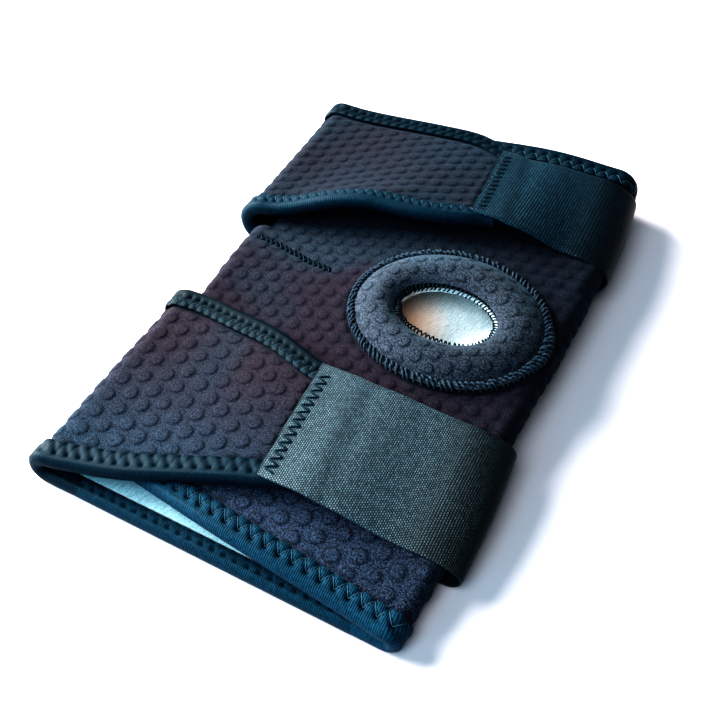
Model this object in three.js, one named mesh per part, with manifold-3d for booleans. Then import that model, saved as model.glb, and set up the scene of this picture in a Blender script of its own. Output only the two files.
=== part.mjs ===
// Open-patella knee brace lying on its back: calf end towards -Y, thigh end towards +Y, front up.
// A neoprene sleeve is closed by two wings that fold over from the left and by two elastic straps
// that run on from the wings, round the right side and underneath.
import * as THREE from "three";
import { mergeVertices } from "three/addons/utils/BufferGeometryUtils.js";
import ManifoldModule from "manifold-3d";

const { clamp, lerp, smoothstep } = THREE.MathUtils;

// Wall thicknesses and clearances
const NEOPRENE = 3.2;
const LINING = 1.0;
const ELASTIC = 1.6;
const HOOK = 1.0;
const GAP = 0.3;

// Edge tape: folded over a cut edge, so it has a leg on each face and a rounded nose, whose corners lie at
// shares of the tape's height and of the nose's reach
const TAPE = { wall: 1.0, leg: 9, nose: 2.0, gap: 0.35, cornerHeight: 0.55, cornerReach: 0.8 };
const TAPE_OUT = TAPE.gap + TAPE.wall;

// Ends of the sleeve along the leg, the fold lines at its left, and the flat seams underneath
const CALF_END = -136;
const THIGH_END = 136;
const SLEEVE_LEFT = -77;
const SEAM_LEFT = -66;
const SEAM_RIGHT = 58;

// Front panel: its free end hidden under the wings, and the tab between them that folds down at the left
const FREE_END = -68;
const TAB = { low: -25, high: 29 };
const FRONT_SLANT = { from: 70, calf: 0.16, thigh: 0.01, bow: 3.1, bowSpan: 160 };
const BACK_SLANT = { calf: 0.034, thigh: 0.02 };

// Notch at the left between the wings, along the leg and across, and where the back starts to curl up at
// the right
const NOTCH = { low: -28, high: 32, fade: 14, from: -60, to: -40 };
const CURL_START = 42;

// Round opening for the kneecap, cut between two heights, and the padded ring sewn round it, as half sizes
// across and along; the ring's roundness is the power that its bulge follows
const KNEECAP = { x: 35.5, y: 5, across: 22.5, along: 19, bottom: 10, top: 50 };
const RING = { across: 46.5, along: 40, edge: 1.2, crown: 4.4, roundness: 0.7 };

// Cross-sections of the sleeve: outermost middle of the wall at the right fold, heights of the middle
// of the wall at the top and the bottom of that fold and at the left of the front, and the height and
// place of the swell between
const SLEEVE = [
  { y: -136, rightX: 74.5, rightTop: 9.8, rightFloor: 2.6, leftTop: 7.9, swell: 5.4, swellX: -15 },
  { y: -110, rightX: 78.0, rightTop: 12.2, rightFloor: 4.6, leftTop: 8.3, swell: 5.0, swellX: -10 },
  { y: -75, rightX: 79.5, rightTop: 15.5, rightFloor: 7.5, leftTop: 8.7, swell: 4.4, swellX: 0 },
  { y: -30, rightX: 81.5, rightTop: 19.0, rightFloor: 8.0, leftTop: 11.5, swell: 3.5, swellX: 5 },
  { y: 5, rightX: 84.0, rightTop: 21.0, rightFloor: 8.0, leftTop: 15.5, swell: 3.5, swellX: 10 },
  { y: 45, rightX: 85.5, rightTop: 22.5, rightFloor: 9.5, leftTop: 14.5, swell: 3.0, swellX: 10 },
  { y: 85, rightX: 85.5, rightTop: 22.5, rightFloor: 10.0, leftTop: 13.5, swell: 1.0, swellX: 20 },
  { y: 111, rightX: 83.5, rightTop: 22.3, rightFloor: 8.5, leftTop: 12.5, swell: 1.0, swellX: 30 },
  { y: 136, rightX: 80.5, rightTop: 22.3, rightFloor: 6.0, leftTop: 11.5, swell: 2.0, swellX: 35 },
];

// Cross-sections of the wings: outermost middle of the wall at the left fold, heights of the middle of
// the wall at the top of that fold and at the strap, and where the rise between them ends
const WING = [
  { y: -132, foldX: -87.0, foldTop: 13.5, top: 22.0, riseEnd: 15 },
  { y: -80, foldX: -86.0, foldTop: 15.5, top: 23.5, riseEnd: 10 },
  { y: -28, foldX: -84.0, foldTop: 17.0, top: 24.5, riseEnd: -5 },
  { y: 32, foldX: -84.5, foldTop: 22.0, top: 36.5, riseEnd: -28 },
  { y: 80, foldX: -85.5, foldTop: 19.5, top: 30.5, riseEnd: 0 },
  { y: 132, foldX: -86.5, foldTop: 17.0, top: 23.6, riseEnd: 10 },
];

// Outlines of the wings, by the place across (x on top; the fold and the underside lie below -77)
const LOWER_WING_EDGES = [
  { across: -125, low: -131.4, high: -28.6 },
  { across: -84, low: -130.4, high: -28.6 },
  { across: -68, low: -127.5, high: -28.4 },
  { across: -48, low: -123.0, high: -31.8 },
  { across: -28, low: -116.5, high: -35.8 },
  { across: -4, low: -108.5, high: -44.4 },
  { across: 18, low: -103.5, high: -47.8 },
];
const UPPER_WING_EDGES = [
  { across: -125, low: 32.6, high: 133.4 },
  { across: -84, low: 32.8, high: 132.6 },
  { across: -68, low: 35.0, high: 131.6 },
  { across: -48, low: 39.6, high: 131.4 },
  { across: -22, low: 45.6, high: 131.0 },
  { across: 2, low: 48.6, high: 129.6 },
  { across: 20, low: 52.0, high: 121.5 },
  { across: 40, low: 57.5, high: 117.5 },
];

// Straps: width edges, left ends at both edges, drift towards the thigh on the way to the right fold,
// and the outermost middle of the wall and its height at the top of that fold. The wing reaches a lap's
// width under each, and both end underneath
const LAP = 14;
const STRAP_END = 22;
const LOWER_STRAP = {
  low: -106,
  high: -46,
  startLow: 3,
  startHigh: 0,
  drift: 2,
  folds: [
    { y: -106, foldX: 86.0, foldTop: 16.0 },
    { y: -76, foldX: 87.0, foldTop: 19.5 },
    { y: -46, foldX: 85.6, foldTop: 21.4 },
  ],
};
const UPPER_STRAP = {
  low: 59.5,
  high: 119.5,
  startLow: 26,
  startHigh: 17,
  drift: 5,
  folds: [
    { y: 59.5, foldX: 89.2, foldTop: 25.6 },
    { y: 90, foldX: 88.6, foldTop: 26.0 },
    { y: 119.5, foldX: 85.8, foldTop: 26.0 },
  ],
};
const HOOK_TAB = { from: 24, to: 42, inset: 4 };

// Materials
const slot = (name, color) => new THREE.MeshStandardMaterial({ name, color, roughness: 0.9, metalness: 0 });
const neoprene = slot("dotted_neoprene", 0x25272e);
const padding = slot("ring_padding", 0x3a3d47);
const jersey = slot("lining_jersey", 0xa9a9a9);
const tape = slot("edge_tape", 0x1c2430);
const elastic = slot("elastic_webbing", 0x4a4f52);
const hook = slot("hook_tape", 0x141416);

// Value of one column of a table, on a smooth curve through its rows
function read(table, key, at, name) {
  const last = table.length - 1;
  let k = 0;
  while (k < last - 1 && at > table[k + 1][key]) k++;
  const [a, b] = [table[k], table[k + 1]];
  const [before, after] = [table[Math.max(k - 1, 0)], table[Math.min(k + 2, last)]];
  const span = b[key] - a[key];
  const t = clamp((at - a[key]) / span, 0, 1);
  const slopeA = (span * (b[name] - before[name])) / (b[key] - before[key]);
  const slopeB = (span * (after[name] - a[name])) / (after[key] - a[key]);
  const rise = b[name] - a[name];
  const curve = slopeA + slopeB - 2 * rise;
  return a[name] + t * (slopeA + t * (3 * rise - 2 * slopeA - slopeB + t * curve));
}

// One where a value is inside a range, falling to nothing over a distance outside it
function within(value, low, high, fade) {
  return Math.min(smoothstep(value, low - fade, low), 1 - smoothstep(value, high, high + fade));
}

// Straight ends of the sleeve's back, which slant a little
const backCalf = (x) => CALF_END + BACK_SLANT.calf * Math.max(0, FRONT_SLANT.from - x);
const backThigh = (x) => THIGH_END - BACK_SLANT.thigh * Math.max(0, FRONT_SLANT.from - x);

// Right fold of the sleeve at one place along the leg
function rightFold(y) {
  const [top, floor] = ["rightTop", "rightFloor"].map((name) => read(SLEEVE, "y", y, name));
  const radius = (top - floor) / 2;
  return { top, floor, radius, start: read(SLEEVE, "y", y, "rightX") - radius };
}

// Height of the middle of the wall underneath: flat on the surface, raised over the edge tapes and
// over the strap ends that pass below, and curling up towards the right fold
const STRAP_ROOM = ELASTIC + HOOK + 3 * GAP;
const STRAP_LIFT = { beside: 4, fade: 12, from: STRAP_END - 34, to: STRAP_END - 2 };
const liftStart = { lower: LOWER_STRAP.low - STRAP_LIFT.beside, upper: UPPER_STRAP.low - STRAP_LIFT.beside };
const liftEnd = LOWER_STRAP.high + LOWER_STRAP.drift + STRAP_LIFT.beside;
function underneath(x, y) {
  const [calf, thigh] = [backCalf(x), backThigh(x)];
  const calfTape = 1 - smoothstep(y, calf + TAPE.leg, calf + 3 * TAPE.leg);
  const thighTape = smoothstep(y, thigh - 2 * TAPE.leg, thigh - TAPE.leg);
  const besideNotch = within(y, NOTCH.low - TAPE.leg, NOTCH.high + TAPE.leg, NOTCH.fade);
  const notchTape = besideNotch * (1 - smoothstep(x, NOTCH.from, NOTCH.to));
  const overLower = within(y, liftStart.lower, liftEnd, STRAP_LIFT.fade);
  const overUpper = smoothstep(y, liftStart.upper - STRAP_LIFT.fade, liftStart.upper);
  const strapLift = Math.max(overLower, overUpper) * smoothstep(x, STRAP_LIFT.from, STRAP_LIFT.to);
  const tapeLift = Math.max(calfTape, thighTape, notchTape);
  const flat = NEOPRENE / 2 + Math.max(TAPE_OUT * tapeLift, STRAP_ROOM * strapLift);
  const fold = rightFold(y);
  return lerp(flat, Math.max(flat, fold.floor), smoothstep(x, CURL_START, fold.start));
}

// Folds and heights of the sleeve at one place along the leg
function sleeveAt(y) {
  const row = (name) => read(SLEEVE, "y", y, name);
  const fold = rightFold(y);
  const leftTop = row("leftTop");
  const leftRadius = (leftTop - underneath(SEAM_LEFT - 3, y)) / 2;
  return {
    rightTop: fold.top,
    rightRadius: (fold.top - underneath(fold.start, y)) / 2,
    right: fold.start,
    leftTop,
    leftRadius,
    left: SLEEVE_LEFT + leftRadius,
    swell: row("swell"),
    swellX: row("swellX"),
  };
}

// Middle of the front panel's wall. The place across is x on top; beyond the folds it runs on
// round them and underneath, as the length of cloth does
function frontAt(across, y) {
  const s = sleeveAt(y);
  const rightEnd = s.right + Math.PI * s.rightRadius;
  const leftEnd = s.left - Math.PI * s.leftRadius;
  let [x, z] = [across, 0];
  if (across > rightEnd) {
    x = s.right - (across - rightEnd);
    z = underneath(x, y);
  } else if (across > s.right) {
    const turn = (across - s.right) / s.rightRadius;
    x = s.right + s.rightRadius * Math.sin(turn);
    z = s.rightTop - s.rightRadius * (1 - Math.cos(turn));
  } else if (across < leftEnd) {
    x = s.left + (leftEnd - across);
    z = underneath(x, y);
  } else if (across < s.left) {
    const turn = (s.left - across) / s.leftRadius;
    x = s.left - s.leftRadius * Math.sin(turn);
    z = s.leftTop - s.leftRadius * (1 - Math.cos(turn));
  } else {
    const t = (across - s.left) / (s.right - s.left);
    const peak = (s.swellX - s.left) / (s.right - s.left);
    const swell = Math.sin(Math.PI * Math.pow(t, Math.log(0.5) / Math.log(peak))) ** 2;
    z = lerp(s.leftTop, s.rightTop, smoothstep(t, 0, 1)) + s.swell * swell;
  }
  return new THREE.Vector3(x, y, z);
}

// Top of the left fold of a wing, and the middle of its wall, by the same kind of place across
function wingFold(y) {
  const foldTop = read(WING, "y", y, "foldTop");
  const radius = (foldTop - underneath(SEAM_LEFT - 3, y)) / 2;
  return { foldTop, radius, start: read(WING, "y", y, "foldX") + radius };
}
function wingTop(x, y) {
  const { foldTop, start } = wingFold(y);
  const rise = smoothstep(x, start, read(WING, "y", y, "riseEnd"));
  return lerp(foldTop, read(WING, "y", y, "top"), rise);
}
function wingAt(across, y) {
  const { foldTop, radius, start } = wingFold(y);
  const foldEnd = start - Math.PI * radius;
  if (across >= start) return new THREE.Vector3(across, y, wingTop(across, y));
  if (across < foldEnd) {
    const x = start + (foldEnd - across);
    return new THREE.Vector3(x, y, underneath(x, y));
  }
  const turn = (start - across) / radius;
  return new THREE.Vector3(start - radius * Math.sin(turn), y, foldTop - radius * (1 - Math.cos(turn)));
}

// Middle of a strap's wall: from the wing's end down to the right fold, round it and underneath
function strapStart(strap, y) {
  return lerp(strap.startLow, strap.startHigh, (y - strap.low) / (strap.high - strap.low));
}
function strapFloor(x, y) {
  return Math.max(ELASTIC / 2, underneath(x, y) - NEOPRENE / 2 - STRAP_ROOM + ELASTIC / 2);
}
function strapFold(strap, y) {
  const foldX = read(strap.folds, "y", y, "foldX");
  const foldTop = read(strap.folds, "y", y, "foldTop");
  const radius = (foldTop - strapFloor(foldX, y)) / 2;
  return { foldTop, radius, start: foldX - radius };
}
function strapAt(strap, across, y) {
  const { foldTop, radius, start } = strapFold(strap, y);
  const sewnEnd = strapStart(strap, y) + LAP;
  const foldEnd = start + Math.PI * radius;
  const fall = smoothstep(across, sewnEnd, start);
  const drifted = y + strap.drift * fall;
  if (across > foldEnd) {
    const x = start - (across - foldEnd);
    return new THREE.Vector3(x, drifted, strapFloor(x, y));
  }
  if (across > start) {
    const turn = (across - start) / radius;
    const z = foldTop - radius * (1 - Math.cos(turn));
    return new THREE.Vector3(start + radius * Math.sin(turn), drifted, z);
  }
  const sewn = read(WING, "y", y, "top") + NEOPRENE / 2 + TAPE_OUT + GAP + ELASTIC / 2;
  return new THREE.Vector3(across, drifted, lerp(sewn, foldTop, fall));
}

// Back panel's wall, flat underneath
const backAt = (x, y) => new THREE.Vector3(x, y, underneath(x, y));

// Point of a surface with its normal, which points up where the place across grows with x
function sample(surface, across, y) {
  const step = 0.05;
  const along = surface(across, y + step).sub(surface(across, y - step));
  const over = surface(across + step, y).sub(surface(across - step, y));
  return { point: surface(across, y), normal: over.cross(along).normalize() };
}

// Evenly spaced values in consecutive spans, each span cut into its own number of steps
function spans(ends, steps) {
  const values = [ends[0]];
  steps.forEach((count, k) => {
    for (let i = 1; i <= count; i++) values.push(lerp(ends[k], ends[k + 1], i / count));
  });
  return values;
}

// Closed geometry from four-sided and three-sided faces, turned outwards
function solid(faces) {
  const triangles = [];
  for (const face of faces) {
    for (let k = 2; k < face.length; k++) triangles.push([face[0], face[k - 1], face[k]]);
  }
  const volume = triangles.reduce((sum, [a, b, c]) => sum + a.dot(b.clone().cross(c)), 0);
  if (volume < 0) triangles.forEach((triangle) => triangle.reverse());
  const geometry = new THREE.BufferGeometry().setFromPoints(triangles.flat());
  return mergeVertices(geometry, 1e-4);
}

// Wall of a sheet, on a grid of points with normals; cells that are not kept are left open
function sheet(grid, wall, shift = 0, keep = () => true) {
  const face = (side) =>
    grid.map((line) =>
      line.map(({ point, normal }) => point.clone().addScaledVector(normal, shift + (side * wall) / 2)),
    );
  const [outer, inner] = [face(1), face(-1)];
  const kept = (i, j) => i >= 0 && j >= 0 && i < grid.length - 1 && j < grid[0].length - 1 && keep(i, j);
  const faces = [];
  for (let i = 0; i < grid.length - 1; i++) {
    for (let j = 0; j < grid[0].length - 1; j++) {
      if (!kept(i, j)) continue;
      const corners = [[i, j], [i + 1, j], [i + 1, j + 1], [i, j + 1]];
      const beside = [kept(i, j - 1), kept(i + 1, j), kept(i, j + 1), kept(i - 1, j)];
      faces.push(corners.map(([p, q]) => outer[p][q]));
      faces.push(corners.map(([p, q]) => inner[p][q]).reverse());
      corners.forEach(([p, q], k) => {
        if (beside[k]) return;
        const [r, s] = corners[(k + 1) % 4];
        faces.push([outer[r][s], outer[p][q], inner[p][q], inner[r][s]]);
      });
    }
  }
  return solid(faces);
}

// Solid through rings of points: open ends are capped, or the last ring joins the first
function loft(rings, cap) {
  const faces = [];
  const count = rings[0].length;
  const pairs = cap ? rings.length - 1 : rings.length;
  for (let i = 0; i < pairs; i++) {
    const [here, next] = [rings[i], rings[(i + 1) % rings.length]];
    for (let k = 0; k < count; k++) {
      const l = (k + 1) % count;
      faces.push([here[k], here[l], next[l], next[k]]);
    }
  }
  for (const [a, b, c] of cap ?? []) {
    const last = rings[rings.length - 1];
    faces.push([rings[0][c], rings[0][b], rings[0][a]], [last[a], last[b], last[c]]);
  }
  return solid(faces);
}

// Columns of the front panel at one place along: left seam, left fold, tab, top, right fold, right seam
const FRONT_STEPS = [1, 6, 2, 14, 8, 2];
const FRONT_FIRST = FRONT_STEPS[0] + FRONT_STEPS[1] + FRONT_STEPS[2];
function frontColumns(y) {
  const s = sleeveAt(y);
  const leftEnd = s.left - Math.PI * s.leftRadius;
  const rightEnd = s.right + Math.PI * s.rightRadius;
  const leftSeam = leftEnd - (SEAM_LEFT - GAP / 2 - s.left);
  const rightSeam = rightEnd + (s.right - SEAM_RIGHT - GAP / 2);
  return spans([leftSeam, leftEnd, s.left, FREE_END, s.right, rightEnd, rightSeam], FRONT_STEPS);
}

// Ends of the front panel at a column: they slant towards the left on top, and the calf end bows out
const frontReach = (column) => Math.max(0, FRONT_SLANT.from - frontColumns(CALF_END)[column]);
function frontCalf(column) {
  const reach = frontReach(column);
  const bow = FRONT_SLANT.bow * Math.sin((Math.PI * reach) / FRONT_SLANT.bowSpan) ** 2;
  const y = CALF_END + FRONT_SLANT.calf * reach - bow;
  const across = frontColumns(y)[column];
  return across > sleeveAt(y).right ? backCalf(frontAt(across, y).x) : y;
}
function frontThigh(column) {
  const y = THIGH_END - FRONT_SLANT.thigh * frontReach(column);
  const across = frontColumns(y)[column];
  return across > sleeveAt(y).right ? backThigh(frontAt(across, y).x) : y;
}

// Rows of the front panel: hem, calf part, tab, thigh part, hem. The tab's columns exist only between
// the wings
const HEM = TAPE.leg + 3;
const FRONT_ROWS = [1, 4, 4, 4, 1];
function frontRows(column) {
  const [calf, thigh] = [frontCalf(column), frontThigh(column)];
  return spans([calf, calf + HEM, TAB.low, TAB.high, thigh - HEM, thigh], FRONT_ROWS);
}
const frontGrid = frontColumns(0).map((_, column) =>
  frontRows(column).map((y) => sample(frontAt, frontColumns(y)[column], y)));
const tabStart = FRONT_ROWS[0] + FRONT_ROWS[1];
const inTab = (row) => row >= tabStart && row < tabStart + FRONT_ROWS[2];
const frontSheet = sheet(frontGrid, NEOPRENE, 0, (column, row) => column >= FRONT_FIRST || inTab(row));

// Lining on the inside of the front's top, between the hems
const liningShift = NEOPRENE / 2 + 2 * GAP + LINING / 2;
const frontLiningGrid = frontGrid
  .slice(FRONT_FIRST, FRONT_FIRST + FRONT_STEPS[3] + 1)
  .map((line) => line.slice(1, -1));
const frontLiningSheet = sheet(frontLiningGrid, LINING, -liningShift);

// Kneecap opening, cut straight down through the front and its lining
const { Manifold, Mesh } = await ManifoldModule().then((module) => {
  module.setup();
  return module;
});
function toManifold(geometry) {
  const vertProperties = new Float32Array(geometry.getAttribute("position").array);
  const triVerts = new Uint32Array(geometry.getIndex().array);
  return new Manifold(new Mesh({ numProp: 3, vertProperties, triVerts }));
}
function fromManifold(body) {
  const { vertProperties, triVerts } = body.getMesh();
  const geometry = new THREE.BufferGeometry();
  geometry.setAttribute("position", new THREE.BufferAttribute(new Float32Array(vertProperties), 3));
  geometry.setIndex(new THREE.BufferAttribute(new Uint32Array(triVerts), 1));
  return geometry;
}
const RING_STEPS = 36;
const cutHeight = KNEECAP.top - KNEECAP.bottom;
const openingCore = new THREE.CylinderGeometry(KNEECAP.across, KNEECAP.across, cutHeight, RING_STEPS)
  .rotateX(Math.PI / 2)
  .scale(1, KNEECAP.along / KNEECAP.across, 1)
  .translate(KNEECAP.x, KNEECAP.y, KNEECAP.bottom + cutHeight / 2)
  .deleteAttribute("normal")
  .deleteAttribute("uv");
const opening = toManifold(mergeVertices(openingCore));
const cutOpening = (geometry) => fromManifold(toManifold(geometry).subtract(opening));

// Padded ring: it follows the front round the opening and bulges between its sewn edges
const RING_TOP = [0, 0.1, 0.35, 0.65, 0.88, 1];
const RING_BASE = [1, 0.85, 0.65, 0];
const ringSections = spans([0, 2 * Math.PI], [RING_STEPS]).slice(0, -1).map((turn) => {
  const place = (share, height) => {
    const x = KNEECAP.x + Math.cos(turn) * lerp(KNEECAP.across + GAP, RING.across, share);
    const y = KNEECAP.y + Math.sin(turn) * lerp(KNEECAP.along + GAP, RING.along, share);
    const { point, normal } = sample(frontAt, x, y);
    return point.addScaledVector(normal, NEOPRENE / 2 + 3 * GAP + height);
  };
  const bulge = (share) => RING.edge + (RING.crown - RING.edge) * Math.sin(Math.PI * share) ** RING.roundness;
  const top = RING_TOP.map((share) => place(share, bulge(share)));
  const bottom = RING_BASE.map((share) => place(share, 0));
  return [...top, ...bottom];
});

// Back panel and its lining
const BACK_STEPS = [2, 1, 3, 3];
const BACK_ROWS = [1, 1, 2, 2, 3, 2, 2, 1];
const backBreaks = [SEAM_RIGHT - GAP / 2, CURL_START, STRAP_LIFT.to, STRAP_LIFT.from, SEAM_LEFT + GAP / 2];
const backColumns = spans(backBreaks, BACK_STEPS);
const backGrid = backColumns.map((x) => {
  const lower = [liftStart.lower, liftEnd, liftEnd + STRAP_LIFT.fade];
  const upper = [liftStart.upper - STRAP_LIFT.fade, liftStart.upper];
  const ends = [backCalf(x), backCalf(x) + HEM, ...lower, ...upper, backThigh(x) - HEM, backThigh(x)];
  return spans(ends, BACK_ROWS).map((y) => sample(backAt, x, y));
});
const backLiningGrid = backGrid.map((line) => line.slice(1, -1));

// Wings: from the left seam underneath, round the left fold and over the front to under the strap
const WING_STEPS = [2, 8, 12];
const WING_ROWS = [1, 3, 1];
function wingColumns(strap, y) {
  const { radius, start } = wingFold(y);
  const foldEnd = start - Math.PI * radius;
  const seam = foldEnd - (SEAM_LEFT - GAP / 2 - start);
  return spans([seam, foldEnd, start, strapStart(strap, clamp(y, strap.low, strap.high)) + LAP], WING_STEPS);
}
function wingEdge(strap, edges, column, name) {
  const guess = name === "low" ? edges[0].low : edges[0].high;
  const y = read(edges, "across", wingColumns(strap, guess)[column], name);
  return read(edges, "across", wingColumns(strap, y)[column], name);
}
function wingGrid(strap, edges) {
  return wingColumns(strap, strap.low).map((_, column) => {
    const [low, high] = ["low", "high"].map((name) => wingEdge(strap, edges, column, name));
    const ends = [low, low + HEM, high - HEM, high];
    return spans(ends, WING_ROWS).map((y) => sample(wingAt, wingColumns(strap, y)[column], y));
  });
}

// Straps: from their sewn ends, over the front and the right fold, to their ends underneath, where a
// hook tab lies between each and the back
const STRAP_STEPS = [2, 8, 9, 4];
const STRAP_ROWS = [3];
const strapSurface = (strap) => (across, y) => strapAt(strap, across, y);
function strapColumns(strap, y) {
  const { radius, start } = strapFold(strap, y);
  const foldEnd = start + Math.PI * radius;
  const sewn = strapStart(strap, y);
  return spans([sewn, sewn + LAP, start, foldEnd, foldEnd + (start - STRAP_END)], STRAP_STEPS);
}
function strapGrid(strap) {
  return strapColumns(strap, strap.low).map((_, column) =>
    spans([strap.low, strap.high], STRAP_ROWS).map((y) =>
      sample(strapSurface(strap), strapColumns(strap, y)[column], y)));
}
function hookTab(strap) {
  const grid = [HOOK_TAB.from, HOOK_TAB.to].map((x) =>
    [strap.low + HOOK_TAB.inset, strap.high - HOOK_TAB.inset].map((y) => {
      const { radius, start } = strapFold(strap, y);
      return sample(strapSurface(strap), start + Math.PI * radius + (start - x), y);
    }));
  return sheet(grid, HOOK, -(ELASTIC / 2 + 1.5 * GAP + HOOK / 2));
}

// Edge tape along a path of edge points. Each path point gives the sheet inset from its edge, with the
// normal on the sheet's outer face
function edgeTape(path) {
  const [inside, outside] = [NEOPRENE / 2 + TAPE.gap, NEOPRENE / 2 + TAPE_OUT];
  const rings = path.map((inset) => {
    const edge = inset(0);
    const leg = inset(TAPE.leg);
    const out = edge.point.clone().sub(inset(0.5).point).normalize();
    const at = (base, height, beyond = 0) =>
      base.point.clone().addScaledVector(base.normal, height).addScaledVector(out, beyond);
    return [
      at(leg, outside),
      at(edge, outside),
      at(edge, TAPE.cornerHeight * outside, TAPE.cornerReach * TAPE.nose),
      at(edge, 0, TAPE.nose),
      at(edge, -TAPE.cornerHeight * outside, TAPE.cornerReach * TAPE.nose),
      at(edge, -outside),
      at(leg, -outside),
      at(leg, -inside),
      at(edge, -inside, TAPE.gap),
      at(edge, inside, TAPE.gap),
      at(leg, inside),
    ];
  });
  const outerLeg = [[0, 1, 9], [0, 9, 10]];
  const nose = [[1, 2, 9], [2, 3, 9], [3, 8, 9], [3, 4, 8], [4, 5, 8]];
  const innerLeg = [[5, 6, 7], [5, 7, 8]];
  return loft(rings, [...outerLeg, ...nose, ...innerLeg]);
}
function flip({ point, normal }) {
  return { point, normal: normal.negate() };
}
function frontPath(edgeOf, sign) {
  const path = [];
  for (let column = FRONT_FIRST; column < frontGrid.length; column++) {
    const across = (y) => frontColumns(y)[column];
    const inward = (inset) => edgeOf(column) + sign * inset;
    path.push((inset) => sample(frontAt, across(inward(inset)), inward(inset)));
  }
  return path;
}
function backPath(edgeOf, sign) {
  return backColumns.slice(1, -1).map((x) => (inset) => flip(sample(backAt, x, edgeOf(x) + sign * inset)));
}
function wingPath(strap, edges, name, sign) {
  return wingColumns(strap, strap.low).slice(0, -1).map((_, column) => {
    const across = (y) => wingColumns(strap, y)[column];
    const inward = (inset) => wingEdge(strap, edges, column, name) + sign * inset;
    return (inset) => sample(wingAt, across(inward(inset)), inward(inset));
  });
}
const calfPath = [
  ...frontPath(frontCalf, 1),
  ...backPath(backCalf, 1),
  ...wingPath(LOWER_STRAP, LOWER_WING_EDGES, "low", 1),
];
const thighPath = [
  ...frontPath(frontThigh, -1),
  ...backPath(backThigh, -1),
  ...wingPath(UPPER_STRAP, UPPER_WING_EDGES, "high", -1),
];

// Assembly
const brace = new THREE.Group();
brace.name = "knee_brace";
function add(name, geometry, material) {
  const mesh = new THREE.Mesh(geometry, material);
  mesh.name = name;
  brace.add(mesh);
}
add("front_panel", cutOpening(frontSheet), neoprene);
add("front_lining", cutOpening(frontLiningSheet), jersey);
add("patella_ring", loft(ringSections), padding);
add("back_panel", sheet(backGrid, NEOPRENE), neoprene);
add("back_lining", sheet(backLiningGrid, LINING, liningShift), jersey);
add("lower_wing", sheet(wingGrid(LOWER_STRAP, LOWER_WING_EDGES), NEOPRENE), neoprene);
add("upper_wing", sheet(wingGrid(UPPER_STRAP, UPPER_WING_EDGES), NEOPRENE), neoprene);
add("lower_strap", sheet(strapGrid(LOWER_STRAP), ELASTIC), elastic);
add("upper_strap", sheet(strapGrid(UPPER_STRAP), ELASTIC), elastic);
add("lower_hook_tab", hookTab(LOWER_STRAP), hook);
add("upper_hook_tab", hookTab(UPPER_STRAP), hook);
add("calf_edge_tape", edgeTape(calfPath), tape);
add("thigh_edge_tape", edgeTape(thighPath), tape);
add("lower_wing_tape", edgeTape(wingPath(LOWER_STRAP, LOWER_WING_EDGES, "high", -1)), tape);
add("upper_wing_tape", edgeTape(wingPath(UPPER_STRAP, UPPER_WING_EDGES, "low", 1)), tape);

export default brace;
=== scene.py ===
# Open-patella knee brace lying on its back: neoprene, edge tapes, elastic straps, stitches and padding
import math

import bmesh
import bpy
import numpy as np
from mathutils import Matrix, Vector


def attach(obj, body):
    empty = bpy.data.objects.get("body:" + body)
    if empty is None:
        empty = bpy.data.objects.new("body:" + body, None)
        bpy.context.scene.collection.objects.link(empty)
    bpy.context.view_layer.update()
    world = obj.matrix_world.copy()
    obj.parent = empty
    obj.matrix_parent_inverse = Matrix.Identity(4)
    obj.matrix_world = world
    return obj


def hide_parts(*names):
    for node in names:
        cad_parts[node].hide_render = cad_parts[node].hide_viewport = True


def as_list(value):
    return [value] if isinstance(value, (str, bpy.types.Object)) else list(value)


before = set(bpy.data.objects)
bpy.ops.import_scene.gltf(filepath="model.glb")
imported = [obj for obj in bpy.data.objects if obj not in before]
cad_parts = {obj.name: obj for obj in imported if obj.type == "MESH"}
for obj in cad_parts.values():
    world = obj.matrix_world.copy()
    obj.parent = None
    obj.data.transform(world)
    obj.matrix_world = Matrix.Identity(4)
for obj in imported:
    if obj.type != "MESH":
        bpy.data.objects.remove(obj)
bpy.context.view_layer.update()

# Sizes are in millimetres and become metres where a mesh is made
MM = 0.001

# Wall thicknesses and clearances
NEOPRENE = 3.2
LINING = 1.0
ELASTIC = 1.6
HOOK = 1.0
GAP = 0.3
# Edge tape: its wall, its outer leg, how far its nose goes past the edge, and its gap to the neoprene
TAPE = dict(wall=1.0, leg=9.0, nose=2.0, gap=0.35)
# How far the tape stands out from the neoprene, its cut width, and the room for a strap's end and hooks
TAPE_OUT = TAPE["gap"] + TAPE["wall"]
STRAP_ROOM = ELASTIC + HOOK + 3 * GAP

# Ends of the sleeve along the leg, its left fold, flat seams underneath, the front's free end and its tab
CALF_END, THIGH_END = -136.0, 136.0
SLEEVE_LEFT = -77.0
SEAM_LEFT, SEAM_RIGHT = -66.0, 58.0
FREE_END = -68.0
TAB_LOW, TAB_HIGH = -25.0, 29.0
# Place under the left folds where the height of the wall underneath is taken
UNDER_LEFT = SEAM_LEFT - 3
# Slants of the ends towards the left, the notch between the wings, and where the back starts to curl up
FRONT_SLANT = dict(start=70.0, calf=0.16, thigh=0.01, bow=3.1, bow_span=160.0)
BACK_SLANT = dict(calf=0.034, thigh=0.02)
NOTCH = dict(low=-28.0, high=32.0, fade=14.0, start=-60.0, stop=-40.0)
CURL_START = 42.0
# Ovals of the kneecap opening and of the padded ring round it, by their middles and half sizes
KNEECAP = dict(x=34.25, y=4.6, across=23.55, along=18.4)
RING = dict(x=35.5, y=5.0, across=45.3, along=38.8)
RING_INSIDE = dict(x=33.85, y=3.9, across=23.15, along=16.3)
# Heights of the ring's padding and flange, and as shares from the inner edge its seam and where its dots lie
PADDING = dict(crown=6.2, flange=1.2, seam=0.87, first_dots=0.14, last_dots=0.76)
# Lining's edge turned up round the opening: its ends under the front's middle, and its thickness
RIM = dict(low=0.6, high=0.2, thick=0.55, inset=0.1)

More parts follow.
